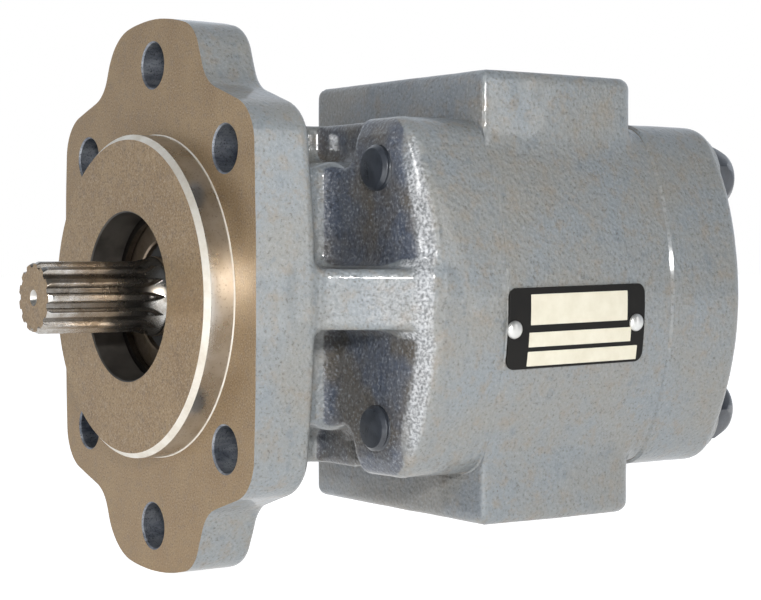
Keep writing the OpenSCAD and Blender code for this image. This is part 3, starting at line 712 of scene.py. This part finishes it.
def turned_iron():
    """Turned cast iron: bright, with fine lathe rings."""
    look = Look("turned_iron")
    rings = look.noise(0.35, detail=2, stretch=(60, 1, 60))
    film = look.noise(14, detail=4)
    specks = look.noise(0.8, detail=3)
    colour = look.overlaid(
        (0.54, 0.51, 0.46),
        (film, (0.35, 0.0), (0.65, 1.0), (0.74, 0.735, 0.72)),
        (specks, (0.3, 0.4), (0.42, 0.0), (0.22, 0.18, 0.14)),
    )
    return look.finish(
        Base_Color=colour, Metallic=0.95, Roughness=look.ramp(film, (0.3, 0.25), (0.7, 0.33)),
        Normal=look.bump(rings, 0.02),
    )


def steel(
    name, bright, stained, rough=(0.22, 0.4), grain=(0.3, 14, 0.3), metallic=1.0, groove_r=None
):
    """Bare steel, stained here and there, with fine marks drawn out along Y.
    Whatever lies within groove_r millimetres of the drive shaft's axis, in the spline's tooth spaces, is
    painted with shade, nearly black."""
    look = Look(name)
    stain = look.noise(7, detail=4, rough=0.65)
    marks = look.noise(0.5, detail=3, stretch=grain)
    colour = look.overlaid(bright, (stain, (0.35, 0.0), (0.68, 1.0), stained))
    # Painted shade: the spline's tooth spaces are darkened to nearly black.
    if groove_r:
        place = look.add("ShaderNodeSeparateXYZ", {"Vector": look.place}).outputs
        squares = [look.calc("POWER", place[axis], 2.0) for axis in "XZ"]
        from_axis = look.calc("SQRT", look.calc("ADD", *squares))
        groove_shade = look.between(from_axis, (groove_r - 0.5) * MM, (groove_r + 0.7) * MM, 0.9, 0.0)
        colour = look.mix(groove_shade, colour, (0.03, 0.026, 0.022))
    return look.finish(
        Base_Color=colour, Metallic=metallic, Roughness=look.ramp(stain, (0.3, rough[0]), (0.7, rough[1])),
        Normal=look.bump(marks, 0.015),
    )


PAINT = cast_paint()
HOLE_WALL = hole_wall()
SCREW_PAINT = two_tone(
    "screw_paint", {"size": 4, "detail": 4, "rough": 0.6}, [(0.024, 0.028, 0.036), (0.045, 0.052, 0.066)],
    (0.25, 0.42), (1.6, 0.08), (0.35, 0.7), Coat_Weight=0.8, Coat_Roughness=0.15,
)
MACHINED = machined_iron()
TURNED = turned_iron()
# Painted shade: bored iron darkened to nearly black, for the shade that falls inside the bores.
SHADED_BORE = two_tone(
    "shaded_bored_iron", {"size": 9, "detail": 4}, [(0.05, 0.046, 0.042), (0.11, 0.10, 0.088)], (0.38, 0.55),
    Metallic=0.6,
)
# Painted highlight: the pilot's chamfers take a lighter, creamier copy of the turned iron.
CHAMFER_HIGHLIGHT = steel("chamfer_highlight", (0.86, 0.82, 0.74), (0.70, 0.64, 0.54), (0.34, 0.46), metallic=0.6)
SHAFT_STEEL = steel(
    "shaft_steel", (0.66, 0.65, 0.63), (0.36, 0.31, 0.25), (0.18, 0.32), groove_r=SPLINE_ROOT_R
)
PLATED_STEEL = steel("plated_steel", (0.78, 0.77, 0.74), (0.62, 0.60, 0.56), (0.24, 0.34))
RIVET_METAL = steel("rivet_metal", (0.86, 0.86, 0.84), (0.74, 0.73, 0.70), (0.3, 0.42), metallic=0.85)
DARK_STEEL = steel("dark_steel", (0.07, 0.062, 0.055), (0.03, 0.028, 0.025), (0.3, 0.45))
SEAL_CASE = steel("seal_case_steel", (0.42, 0.34, 0.26), (0.25, 0.19, 0.13), (0.3, 0.42), grain=(20, 0.4, 20))
BRONZE = steel("bronze", (0.72, 0.50, 0.26), (0.52, 0.33, 0.16), (0.28, 0.42))
RUBBER = two_tone(
    "seal_rubber", {"size": 3, "detail": 4}, [(0.012, 0.012, 0.012), (0.035, 0.033, 0.03)], (0.45, 0.65),
    (0.8, 0.02), (0.3, 0.75),
)
PLASTIC = two_tone(
    "backup_plastic", {"size": 5}, [(0.60, 0.57, 0.49), (0.70, 0.67, 0.59)], (0.5, 0.5), (0.7, 0.01)
)
PLATE_BLACK, PLATE_CREAM = [
    two_tone(
        name, {"size": 5, "detail": 4, "rough": 0.6}, tones, (0.5, 0.6), (1.5, 0.012), Specular_IOR_Level=0.25
    )
    for name, tones in (
        ("nameplate_black", [(0.005, 0.0045, 0.004), (0.010, 0.009, 0.0075)]),
        ("nameplate_cream", [(0.72, 0.67, 0.53), (0.80, 0.755, 0.62)]),
    )
]

# --- Castings ---

REACH = 60.0      # how far cutters run on past the metal
ROOM = 3.0        # space left round a blank when its field is sampled


def seam_cut(start, end):
    """Cutter that faces a casting off between two places along Y."""
    half = 400
    return box("cut", (-half, start, -half), (half, end, half), MACHINED)


def seam_groove(seam_y, half_w, depth, half_h=BODY_HALF_H):
    """Cutter for the V-shaped groove that the castings' broken edges leave round a seam."""
    def outline(inset):
        return [(x + BODY_X, z) for x, z in body_corners(half_h, inset)]

    ring = prism("groove", outline(-1.5), seam_y - half_w, seam_y + half_w, PAINT)
    rim = outline(-depth)
    core_layers = [(seam_y - 2 * half_w, rim), (seam_y, outline(depth)), (seam_y + 2 * half_w, rim)]
    core = stacked("core", core_layers, PAINT)
    return combine(ring, [core], "DIFFERENCE")


def screw_cutters(start, end, r):
    return [bar("cut", start, end, r, screw, SHADED_BORE) for screw in SCREWS]


def dowel_cutters(start, end):
    return [bar("cut", start, end, DOWEL_R, dowel, SHADED_BORE) for dowel in DOWELS]


def mounting_holes():
    """The two holes in the ears and the four in the corners, each with a broken front edge."""
    angles_and_radii = [(math.pi / 2, TWO_BOLT_R), (-math.pi / 2, TWO_BOLT_R)]
    angles_and_radii += [(math.pi / 4 + quarter * math.pi / 2, FOUR_BOLT_R) for quarter in range(4)]
    profile = [
        (-20, 0), (-20, MOUNT_HOLE_R + 0.5), (0, MOUNT_HOLE_R + 0.5), (0.5, MOUNT_HOLE_R),
        (FLANGE_T + 5, MOUNT_HOLE_R), (FLANGE_T + 5, 0),
    ]
    return [
        turned("cut", profile, (r * math.cos(a), r * math.sin(a)), HOLE_WALL, 72)
        for a, r in angles_and_radii
    ]


def make_casting(node, field, low, high, seed, cutters):
    """A blank with its machining cut out of it, in place of its CAD node."""
    piece = cast(node + "_casting", field, low, high, PAINT, seed)
    combine(piece, cutters, "DIFFERENCE")
    shade(piece)
    stand_for(piece, "casing", "cast_paint", node)


def make_front_cover():
    facing = turned("cut", [
        (-REACH, 0), (PILOT_FRONT_Y, 0), (PILOT_FRONT_Y, PILOT_R - PILOT_CHAMFER),
        (PILOT_FRONT_Y + PILOT_CHAMFER, PILOT_R), (-PILOT_ROOT, PILOT_R), (0, PILOT_R + PILOT_ROOT),
        (0, 150), (-REACH, 150), (-REACH, 0),
    ], material=[MACHINED, MACHINED, CHAMFER_HIGHLIGHT, TURNED, CHAMFER_HIGHLIGHT, MACHINED, MACHINED, MACHINED])
    pocket_y = HOUSING_Y - BUSHING_L - BUSHING_GAP
    bore = turned("cut", [
        (-REACH, 0), (-REACH, SEAL_BORE_R + 0.4), (PILOT_FRONT_Y, SEAL_BORE_R + 0.4),
        (PILOT_FRONT_Y + 0.4, SEAL_BORE_R), (GROOVE_Y[0], SEAL_BORE_R), (GROOVE_Y[0], GROOVE_R),
        (GROOVE_Y[1], GROOVE_R), (GROOVE_Y[1], SEAL_BORE_R), (SEAL_BORE_END_Y, SEAL_BORE_R),
        (SEAL_BORE_END_Y, SHAFT_BORE_R), (pocket_y, SHAFT_BORE_R),
        (pocket_y, BUSHING_R), (HOUSING_Y + REACH, BUSHING_R), (HOUSING_Y + REACH, 0),
    ], material=SHADED_BORE)
    driven_pocket = bar("cut", pocket_y, HOUSING_Y + REACH, BUSHING_R, GEARS[1], SHADED_BORE)
    cutters = [facing, bore, driven_pocket, seam_cut(HOUSING_Y, HOUSING_Y + 50)]
    cutters.append(seam_groove(HOUSING_Y, *FRONT_GROOVE))
    cutters += mounting_holes()
    cutters += screw_cutters(SCREW_TIP_Y - 1, HOUSING_Y + REACH, SCREW_R)
    cutters += dowel_cutters(HOUSING_Y - DOWEL_L, HOUSING_Y + REACH)
    low = (-FLANGE_HALF_W - ROOM, PILOT_FRONT_Y - STOCK - ROOM, -EAR_HALF_H - ROOM)
    high = (BODY_HIGH_X + ROOM, HOUSING_Y + STOCK, EAR_HALF_H + ROOM)
    make_casting("front_cover", front_cover_field, low, high, 1, cutters)


def port_cutters(port):
    """One port: its face, its bore down to the gears and its four threaded holes."""
    side = port["side"]
    ends = sorted((side * (PORT_FACE_Z - PORT_DEPTH), side * (PORT_FACE_Z + 10)))
    throat_ends = sorted((side * PORT_THROAT_Z, side * (PORT_FACE_Z - PORT_DEPTH + 5)))
    thread_ends = sorted((side * (PORT_FACE_Z - PORT_THREAD_DEPTH), side * (PORT_FACE_Z + 10)))
    face = sorted((side * PORT_FACE_Z, side * (PORT_FACE_Z + 30)))
    half_x, half_y = (spacing / 2 for spacing in port["bolts"])
    cutters = [
        box("cut", (-300, -300, face[0]), (300, 400, face[1]), MACHINED),
        upright_bar("cut", *ends, port["r"], (BODY_X, PORT_Y), SHADED_BORE),
        upright_bar("cut", *throat_ends, port["throat_r"], (BODY_X, PORT_Y), SHADED_BORE),
    ]
    for x in (-half_x, half_x):
        for y in (-half_y, half_y):
            centre = (BODY_X + x, PORT_Y + y)
            cutters.append(upright_bar("cut", *thread_ends, port["bolt_r"], centre, SHADED_BORE, 40))
    return cutters


def band_corners(r):
    """Outline of a band round both gear pockets."""
    near = arc((0, 0), r, math.pi / 2, 3 * math.pi / 2, 48)
    return near + arc((GEAR_DISTANCE, 0), r, -math.pi / 2, math.pi / 2, 48)


def seal_groove(start, end):
    inner_r, outer_r = SEAL_GROOVE_R
    ring = prism("cut", band_corners(outer_r), start, end, SHADED_BORE)
    return combine(ring, [prism("inner", band_corners(inner_r), start - 5, end + 5, SHADED_BORE)], "DIFFERENCE")


def make_gear_housing():
    cutters = [seam_cut(HOUSING_Y - REACH, HOUSING_Y), seam_cut(REAR_Y, REAR_Y + REACH)]
    cutters += [seam_groove(HOUSING_Y, *FRONT_GROOVE), seam_groove(REAR_Y, *REAR_GROOVE)]
    cutters += [
        bar("cut", HOUSING_Y - OVERRUN, REAR_Y + OVERRUN, POCKET_R, gear, SHADED_BORE, 144) for gear in GEARS
    ]
    cutters += port_cutters(INLET) + port_cutters(OUTLET)
    cutters.append(seal_groove(HOUSING_Y - 2, HOUSING_Y + SEAL_GROOVE_DEPTH))
    cutters.append(seal_groove(REAR_Y - SEAL_GROOVE_DEPTH, REAR_Y + 2))
    cutters += screw_cutters(HOUSING_Y - OVERRUN, REAR_Y + OVERRUN, SCREW_HOLE_R)
    cutters += dowel_cutters(HOUSING_Y - OVERRUN, HOUSING_Y + DOWEL_L)
    cutters += dowel_cutters(REAR_Y - DOWEL_L, REAR_Y + OVERRUN)
    half_h = PORT_FACE_Z + STOCK - 1
    low, high = (BODY_LOW_X - ROOM, HOUSING_Y - ROOM, -half_h), (BODY_HIGH_X + ROOM, REAR_Y + ROOM, half_h)
    make_casting("gear_housing", gear_housing_field, low, high, 2, cutters)


def make_rear_cover():
    cutters = [seam_cut(REAR_Y - REACH, REAR_Y), seam_groove(REAR_Y, *REAR_GROOVE, REAR_HALF_H)]
    pocket_end_y = REAR_Y + BUSHING_L + BUSHING_GAP
    cutters += [bar("cut", REAR_Y - OVERRUN, pocket_end_y, BUSHING_R, gear, SHADED_BORE) for gear in GEARS]
    cutters += screw_cutters(REAR_Y - OVERRUN, BACK_Y + OVERRUN, SCREW_HOLE_R)
    cutters += dowel_cutters(REAR_Y - OVERRUN, REAR_Y + DOWEL_L)
    low = (BODY_LOW_X - ROOM, REAR_Y - STOCK, -REAR_HALF_H - ROOM)
    high = (BODY_HIGH_X + ROOM, BACK_Y + ROOM, REAR_HALF_H + ROOM)
    make_casting("rear_cover", rear_cover_field, low, high, 3, cutters)


# --- Shafts and gears ---

GEAR_TEETH = 12
GEAR_MODULE = GEAR_DISTANCE / GEAR_TEETH
GEAR_TIP_R = GEAR_DISTANCE / 2 + GEAR_MODULE
GEAR_ROOT_R = GEAR_DISTANCE / 2 - 1.25 * GEAR_MODULE
GEAR_PRESSURE_ANGLE = math.radians(25)
GEAR_Y = (HOUSING_Y + 5.85, REAR_Y - 5.85)
SEAL_JOURNAL_R = 12.7
JOURNAL_R = 15.0


def involute(base_r, r):
    roll = np.sqrt(np.maximum((r / base_r) ** 2 - 1, 0))
    return roll - np.arctan(roll)


def tooth_half_angle(pitch_r, pressure_angle, tooth_w, r):
    """Half of the angle that an involute tooth takes up at radius r."""
    base_r = pitch_r * math.cos(pressure_angle)
    return tooth_w / 2 / pitch_r + involute(base_r, pitch_r) - involute(base_r, np.maximum(r, base_r))


def gear_corners(first_tooth):
    """Outline of a gear with a tooth at the given angle."""
    radii = np.linspace(GEAR_ROOT_R, GEAR_TIP_R, 9)
    halves = tooth_half_angle(GEAR_DISTANCE / 2, GEAR_PRESSURE_ANGLE, math.pi * GEAR_MODULE / 2 - 0.12, radii)
    corners = []
    for tooth in range(GEAR_TEETH):
        middle = first_tooth + 2 * math.pi * tooth / GEAR_TEETH
        flank = [(r, middle - half) for r, half in zip(radii, halves)]
        tip = [(GEAR_TIP_R, middle - halves[-1] * part) for part in (0.33, -0.33)]
        flank += tip + [(r, middle + half) for r, half in reversed(list(zip(radii, halves)))]
        root = middle + math.pi / GEAR_TEETH
        corners += [(r * math.cos(a), r * math.sin(a)) for r, a in flank]
        corners.append((GEAR_ROOT_R * math.cos(root), GEAR_ROOT_R * math.sin(root)))
    return corners


def lofted(name, places, radius, segments, material):
    """A solid along Y whose radius depends on the place along Y and the angle round it."""
    angles = np.arange(segments) * 2 * math.pi / segments
    circle = np.stack([np.cos(angles), np.sin(angles)], axis=1)
    return stacked(name, [(y, circle * radius(y, angles)[:, None]) for y in places], material)


def soft_min(a, b, r=0.12):
    """The smaller of two radii, with the edge between them rounded."""
    blend = np.clip(0.5 + (b - a) / (2 * r), 0, 1)
    return b + (a - b) * blend - r * blend * (1 - blend)


def splined_radius(y, angles):
    """Radius of the drive shaft at a place along it, with the spline's teeth and the cutter's run-out."""
    blank = np.interp(y, *zip(
        (SHAFT_TIP_Y, SPLINE_R - 0.7), (SHAFT_TIP_Y + 1.35, SPLINE_R), (-7, SPLINE_R), (-2, SEAL_JOURNAL_R),
        (35, SEAL_JOURNAL_R), (37, JOURNAL_R), (SHAFT_END_Y - 1, JOURNAL_R), (SHAFT_END_Y, JOURNAL_R - 1),
    ))
    if y > 1:
        return np.full_like(angles, blank)
    run_out = max(y + 9.5, 0.0)
    root = SPLINE_ROOT_R + 0.044 * run_out ** 2
    pitch = 2 * math.pi / SPLINE_TEETH
    off = np.abs((angles + pitch / 2) % pitch - pitch / 2)
    radii = np.linspace(SPLINE_R + 1.6, SPLINE_ROOT_R - 0.5, 24)
    halves = tooth_half_angle(SPLINE_PITCH_R, math.radians(30), math.pi * 25.4 / 32, radii)
    tooth = np.interp(off + 0.004 * run_out, halves, radii)
    return soft_min(-soft_min(-tooth, -root, 0.25), blank, 0.15)


def make_drive_shaft():
    places = [SHAFT_TIP_Y + step for step in (0, 0.15, 0.45, 0.9, 1.35, 1.8, 2.2, 3)]
    places += list(np.arange(SHAFT_TIP_Y + 5, -11, 3)) + list(np.arange(-10.5, 1.1, 0.35))
    places += [1.5, 20, 35, 37, 60, HOUSING_Y + 10, REAR_Y - 10, REAR_Y + 10, SHAFT_END_Y - 1, SHAFT_END_Y]
    piece = lofted("drive_gear_and_shaft", places, splined_radius, SPLINE_TEETH * 32, SHAFT_STEEL)
    combine(piece, [prism("gear", gear_corners(0), *GEAR_Y, SHAFT_STEEL)], "UNION")
    face_y = SHAFT_TIP_Y + 0.02
    facing = turned("cut", [
        (face_y - 3, 0), (face_y - 3, 20), (face_y, 20), (face_y, 2.5), (face_y + 3.0, 0.8),
        (face_y + 5.0, 0.8), (face_y + 5.4, 0),
    ], material=[MACHINED] * 3 + [PLATED_STEEL] * 3, segments=48)
    combine(piece, [facing], "DIFFERENCE")
    shade(piece, 28)
    stand_for(piece, "drive_shaft", "shaft_steel", "drive_gear_shaft")


def make_driven_shaft():
    start, end = span("driven_gear_shaft", Y)
    piece = turned("driven_gear_and_shaft", [
        (start, 0), (start, JOURNAL_R - 1), (start + 1, JOURNAL_R),
        (end - 1, JOURNAL_R), (end, JOURNAL_R - 1), (end, 0),
    ], GEARS[1], SHAFT_STEEL, 144)
    corners = [(x + GEAR_DISTANCE, z) for x, z in gear_corners(math.pi / GEAR_TEETH)]
    combine(piece, [prism("gear", corners, *GEAR_Y, SHAFT_STEEL)], "UNION")
    shade(piece, 28)
    stand_for(piece, "driven_gear", "shaft_steel", "driven_gear_shaft")


# --- Fasteners ---


def threaded_radius(y, angles):
    """Radius of a cap screw: a rolled thread that starts behind a chamfered end, then a plain shank."""
    chamfer = SCREW_R - 1.15 + 1.1 * (y - SCREW_TIP_Y)
    if y > HOUSING_Y:
        return np.full_like(angles, SCREW_R - 0.01)
    phase = ((y - SCREW_TIP_Y) / SCREW_PITCH - angles / (2 * math.pi)) % 1
    thread = SCREW_R - 0.55 * np.clip(np.abs(phase - 0.5) * 4 - 0.6, 0, 1)
    return soft_min(thread, np.full_like(angles, max(chamfer, SCREW_R - 1.15)), 0.1)


def make_screw(number, centre):
    """A hex-head cap screw, with the head's corners turned off and a washer face under it."""
    places = list(np.arange(SCREW_TIP_Y, SCREW_TIP_Y + 9, 0.15))
    places += [SCREW_TIP_Y + 30, HOUSING_Y + 1, BACK_Y + 3]
    piece = lofted(f"cap_screw_{number}", places, threaded_radius, 72, SCREW_PAINT)
    corner_r = SCREW_FLATS / math.sqrt(3)
    corner_angles = [SCREW_HEAD_TURNS[number - 1] + k * math.pi / 3 for k in range(6)]
    seat_y, face_r = BACK_Y + 0.01, SCREW_FLATS / 2 - 0.3
    head = prism(
        "head", [(corner_r * math.cos(a), corner_r * math.sin(a)) for a in corner_angles],
        seat_y, SCREW_HEAD_Y, SCREW_PAINT,
    )
    head_blank = turned("blank", [
        (seat_y, 0), (seat_y, face_r), (seat_y + WASHER_FACE_H, face_r), (seat_y + WASHER_FACE_H, corner_r),
        (seat_y + SCREW_CROWN_H, corner_r), (SCREW_HEAD_Y, face_r - 0.3), (SCREW_HEAD_Y, 0),
    ], material=SCREW_PAINT, segments=96)
    combine(head, [head_blank], "INTERSECT")
    combine(piece, [head], "UNION")
    piece.data.transform(Matrix.Translation((centre[0] * MM, 0, centre[1] * MM)))
    soften = piece.modifiers.new("soften", "BEVEL")
    soften.width = 0.25 * MM
    soften.segments = 2
    soften.limit_method = "ANGLE"
    soften.angle_limit = math.radians(32)
    combine(piece, [], "UNION")
    shade(piece)
    return piece


def make_screws():
    pieces = [make_screw(number, centre) for number, centre in enumerate(SCREWS, 1)]
    for piece in pieces:
        stand_for(piece, "casing", "painted_steel", "cap_screws")


# --- Nameplate ---

PLATE_MIDDLE = (105.3, -8.7)            # its centre along Y and Z
PLATE_SIZE = (55.8, 25.0)
PLATE_TILT = math.radians(1.25)
PLATE_T = 0.8
# The plate's blank fields: (low, high) along its length and height, from its centre
PLATE_FIELDS = [((-19.6, 0.9), (20.4, 10.5)), ((-20.0, -5.9), (22.2, -1.2)), ((-20.1, -11.8), (25.3, -7.1))]
RIVETS = [(-26.0, -0.1), (24.0, 0.1)]


def on_side(along, up, out):
    """Point on the bent plate, from its place along and up the plate and its height off the casting."""
    y = PLATE_MIDDLE[0] + along * math.cos(PLATE_TILT) - up * math.sin(PLATE_TILT)
    z = PLATE_MIDDLE[1] + along * math.sin(PLATE_TILT) + up * math.cos(PLATE_TILT)
    angle = math.asin(z / SIDE_R)
    return (
        BODY_HIGH_X - SIDE_R + (SIDE_R + out) * math.cos(angle), y, (SIDE_R + out) * math.sin(angle)
    )


def bent_plate(name, low, high, corner_r, bottom, top, material):
    """A rounded rectangle bent round the casting's side, with a softened rim."""
    centre_x, centre_y = (low[0] + high[0]) / 2, (low[1] + high[1]) / 2
    half_x, half_y = (high[0] - low[0]) / 2, (high[1] - low[1]) / 2

    def outline(inset):
        r = corner_r - inset * 0.5
        quarter = arc((half_x - inset - r, half_y - inset - r), r, 0, math.pi / 2, 8)
        return [(x + centre_x, y + centre_y) for x, y in four_way(quarter)]

    rims = [(0, bottom), (0, top - 0.12), (0.12, top)]
    count = len(outline(0))
    shell = bmesh.new()
    rings = []
    for inset, out in rims:
        rings.append([shell.verts.new((x, y, out)) for x, y in outline(inset)])
    for near, far in zip(rings, rings[1:]):
        for i in range(count):
            shell.faces.new((near[i], near[(i + 1) % count], far[(i + 1) % count], far[i]))
    shell.faces.new(rings[0])
    shell.faces.new(rings[-1])
    for cut in np.arange(math.ceil(low[1]), high[1], 1.5):
        everything = shell.verts[:] + shell.edges[:] + shell.faces[:]
        bmesh.ops.bisect_plane(shell, geom=everything, plane_co=(0, cut, 0), plane_no=(0, 1, 0))
    for vertex in shell.verts:
        vertex.co = Vector(on_side(*vertex.co)) * MM
    bmesh.ops.recalc_face_normals(shell, faces=shell.faces)
    mesh = bpy.data.meshes.new(name)
    shell.to_mesh(mesh)
    shell.free()
    mesh.materials.append(material)
    piece = new_object(name, mesh)
    shade(piece, 30)
    return piece


def make_nameplate():
    half = (PLATE_SIZE[0] / 2, PLATE_SIZE[1] / 2)
    plate = bent_plate("nameplate_plate", (-half[0], -half[1]), half, 3.0, 0.0, PLATE_T, PLATE_BLACK)
    stand_for(plate, "casing", "nameplate_black", "nameplate")
    for number, (low, high) in enumerate(PLATE_FIELDS, 1):
        field = bent_plate(
            f"nameplate_field_{number}", low, high, 0.3, PLATE_T - 0.05, PLATE_T + 0.03, PLATE_CREAM
        )
        stand_for(field, "casing", "nameplate_black")


def make_rivets():
    """Domed rivet heads seated on the plate."""
    head_r, dome_h = 2.85, 1.7
    dome = [(0.0, 0.0), (0.0, head_r - 0.15), (0.12, head_r)]
    dome += [
        (0.12 + (dome_h - 0.12) * math.sin(a), head_r * math.cos(a))
        for a in np.linspace(0.15, math.pi / 2 - 0.12, 9)
    ]
    dome += [(dome_h, 0.0)]
    shank = [(-3.1, 0.0), (-3.1, 1.38), (-0.02, 1.38)]
    for number, place in enumerate(RIVETS, 1):
        piece = turned(f"nameplate_rivet_{number}", shank + dome[1:], (0, 0), RIVET_METAL, 48)
        seat = Vector(on_side(*place, PLATE_T))
        outward = seat - Vector((BODY_HIGH_X - SIDE_R, seat.y, 0))
        turn = Vector((0, 1, 0)).rotation_difference(outward)
        piece.data.transform(Matrix.Translation(seat * MM) @ turn.to_matrix().to_4x4())
        shade(piece)
        stand_for(piece, "casing", "plated_steel", "nameplate_rivets")


# --- CAD nodes that keep their own shape ---

NODE_LOOKS = {
    "front_drive_bushing": BRONZE, "front_driven_bushing": BRONZE,
    "rear_drive_bushing": BRONZE, "rear_driven_bushing": BRONZE,
    "front_thrust_plate": BRONZE, "rear_thrust_plate": BRONZE,
    "front_plate_seal": RUBBER, "rear_plate_seal": RUBBER,
    "front_plate_backup": PLASTIC, "rear_plate_backup": PLASTIC,
    "front_body_seal": RUBBER, "rear_body_seal": RUBBER,
    "shaft_seal_case": SEAL_CASE, "shaft_seal_lip": RUBBER,
    "seal_garter_spring": PLATED_STEEL, "seal_retaining_ring": DARK_STEEL,
    "front_dowel_pins": PLATED_STEEL, "rear_dowel_pins": PLATED_STEEL,
}


def dress_nodes():
    for name, look in NODE_LOOKS.items():
        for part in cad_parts[name].material_slots:
            part.material = look


# --- Camera, floor and light ---


def aim(thing, place, target, roll=0.0):
    """Stands a camera or light at a place, in metres, facing a target."""
    back = (Vector(place) - Vector(target)).normalized()
    right = Vector((0, 0, 1)).cross(back).normalized()
    turn = Matrix((right, back.cross(right), back)).transposed()
    thing.matrix_world = Matrix.Translation(place) @ turn.to_4x4() @ Matrix.Rotation(roll, 4, "Z")


def make_camera():
    """The camera stands about half a metre away, off the shaft's end and on the driven gear's side."""
    data = bpy.data.cameras.new("camera")
    camera = new_object("camera", data)
    data.sensor_width = 36.0
    data.lens = 89.5
    aim(camera, (0.5322, -0.2864, 0.0143), (0.1255, 0.0, 0.0016), math.radians(0.134))
    bpy.context.scene.camera = camera


def make_light(name, place, size, watts, colour=(1, 1, 1), target=(0.03, 0.07, 0)):
    data = bpy.data.lights.new(name, "AREA")
    data.shape = "RECTANGLE"
    data.size, data.size_y = size
    data.energy = watts
    data.color = colour
    aim(new_object(name, data), place, target)


def make_floor():
    """A white light table, which also lights the part from below."""
    half = 6.0
    top = -EAR_HALF_H * MM
    mesh = bpy.data.meshes.new("floor")
    corners = [(-half, -half, top), (half, -half, top), (half, half, top), (-half, half, top)]
    mesh.from_pydata(corners, [], [(0, 1, 2, 3)])
    look = Look("floor")
    shade_of_white = look.noise(400, detail=1)
    seen = look.add("ShaderNodeLightPath").outputs["Is Camera Ray"]
    mesh.materials.append(look.finish(
        Base_Color=look.ramp(shade_of_white, (0.3, 0.66), (0.7, 0.68)), Roughness=0.8, Specular_IOR_Level=0.2,
        Emission_Color=(1, 1, 1, 1), Emission_Strength=look.between(seen, 0.0, 1.0, 0.62, 0.9),
    ))
    new_object("floor", mesh)


def make_room():
    """A pale backdrop behind the part and a dim room in front of it; the camera itself sees plain white."""
    world = bpy.data.worlds.new("room")
    room = Nodes(world)
    white = room.tree.nodes["Background"]
    room.fill(white, {"Color": (1, 1, 1, 1)})
    direction = room.add("ShaderNodeTexCoord").outputs["Generated"]
    toward_backdrop = room.add(
        "ShaderNodeVectorMath", {0: direction, 1: (-0.80, 0.55, -0.25)}, operation="DOT_PRODUCT"
    ).outputs["Value"]
    lighting = room.add("ShaderNodeBackground", {
        "Color": (0.86, 0.92, 1.0, 1), "Strength": room.between(toward_backdrop, -0.3, 0.5, 0.10, 0.80),
    })
    seen = room.add("ShaderNodeLightPath").outputs["Is Camera Ray"]
    choice = room.add("ShaderNodeMixShader", {0: seen, 1: lighting.outputs[0], 2: white.outputs[0]})
    room.fill(room.tree.nodes["World Output"], {"Surface": choice.outputs[0]})
    bpy.context.scene.world = world


def make_studio():
    """A soft box close above the camera gives most of the light; the others only fill."""
    make_light("camera_box", (0.48, -0.235, 0.10), (0.06, 0.04), 1.95)
    make_light("side_box", (0.95, 0.57, 0.24), (0.26, 0.90), 1.4)
    for number, height in enumerate((0.08, 0.50), 1):
        make_light(f"front_box_{number}", (0.02, -1.1, height), (0.16, 0.16), 1.3)
    make_room()
    bpy.context.scene.view_settings.view_transform = "Standard"


make_front_cover()
make_gear_housing()
make_rear_cover()
make_drive_shaft()
make_driven_shaft()
make_screws()
make_nameplate()
make_rivets()
dress_nodes()
make_camera()
make_floor()
make_studio()
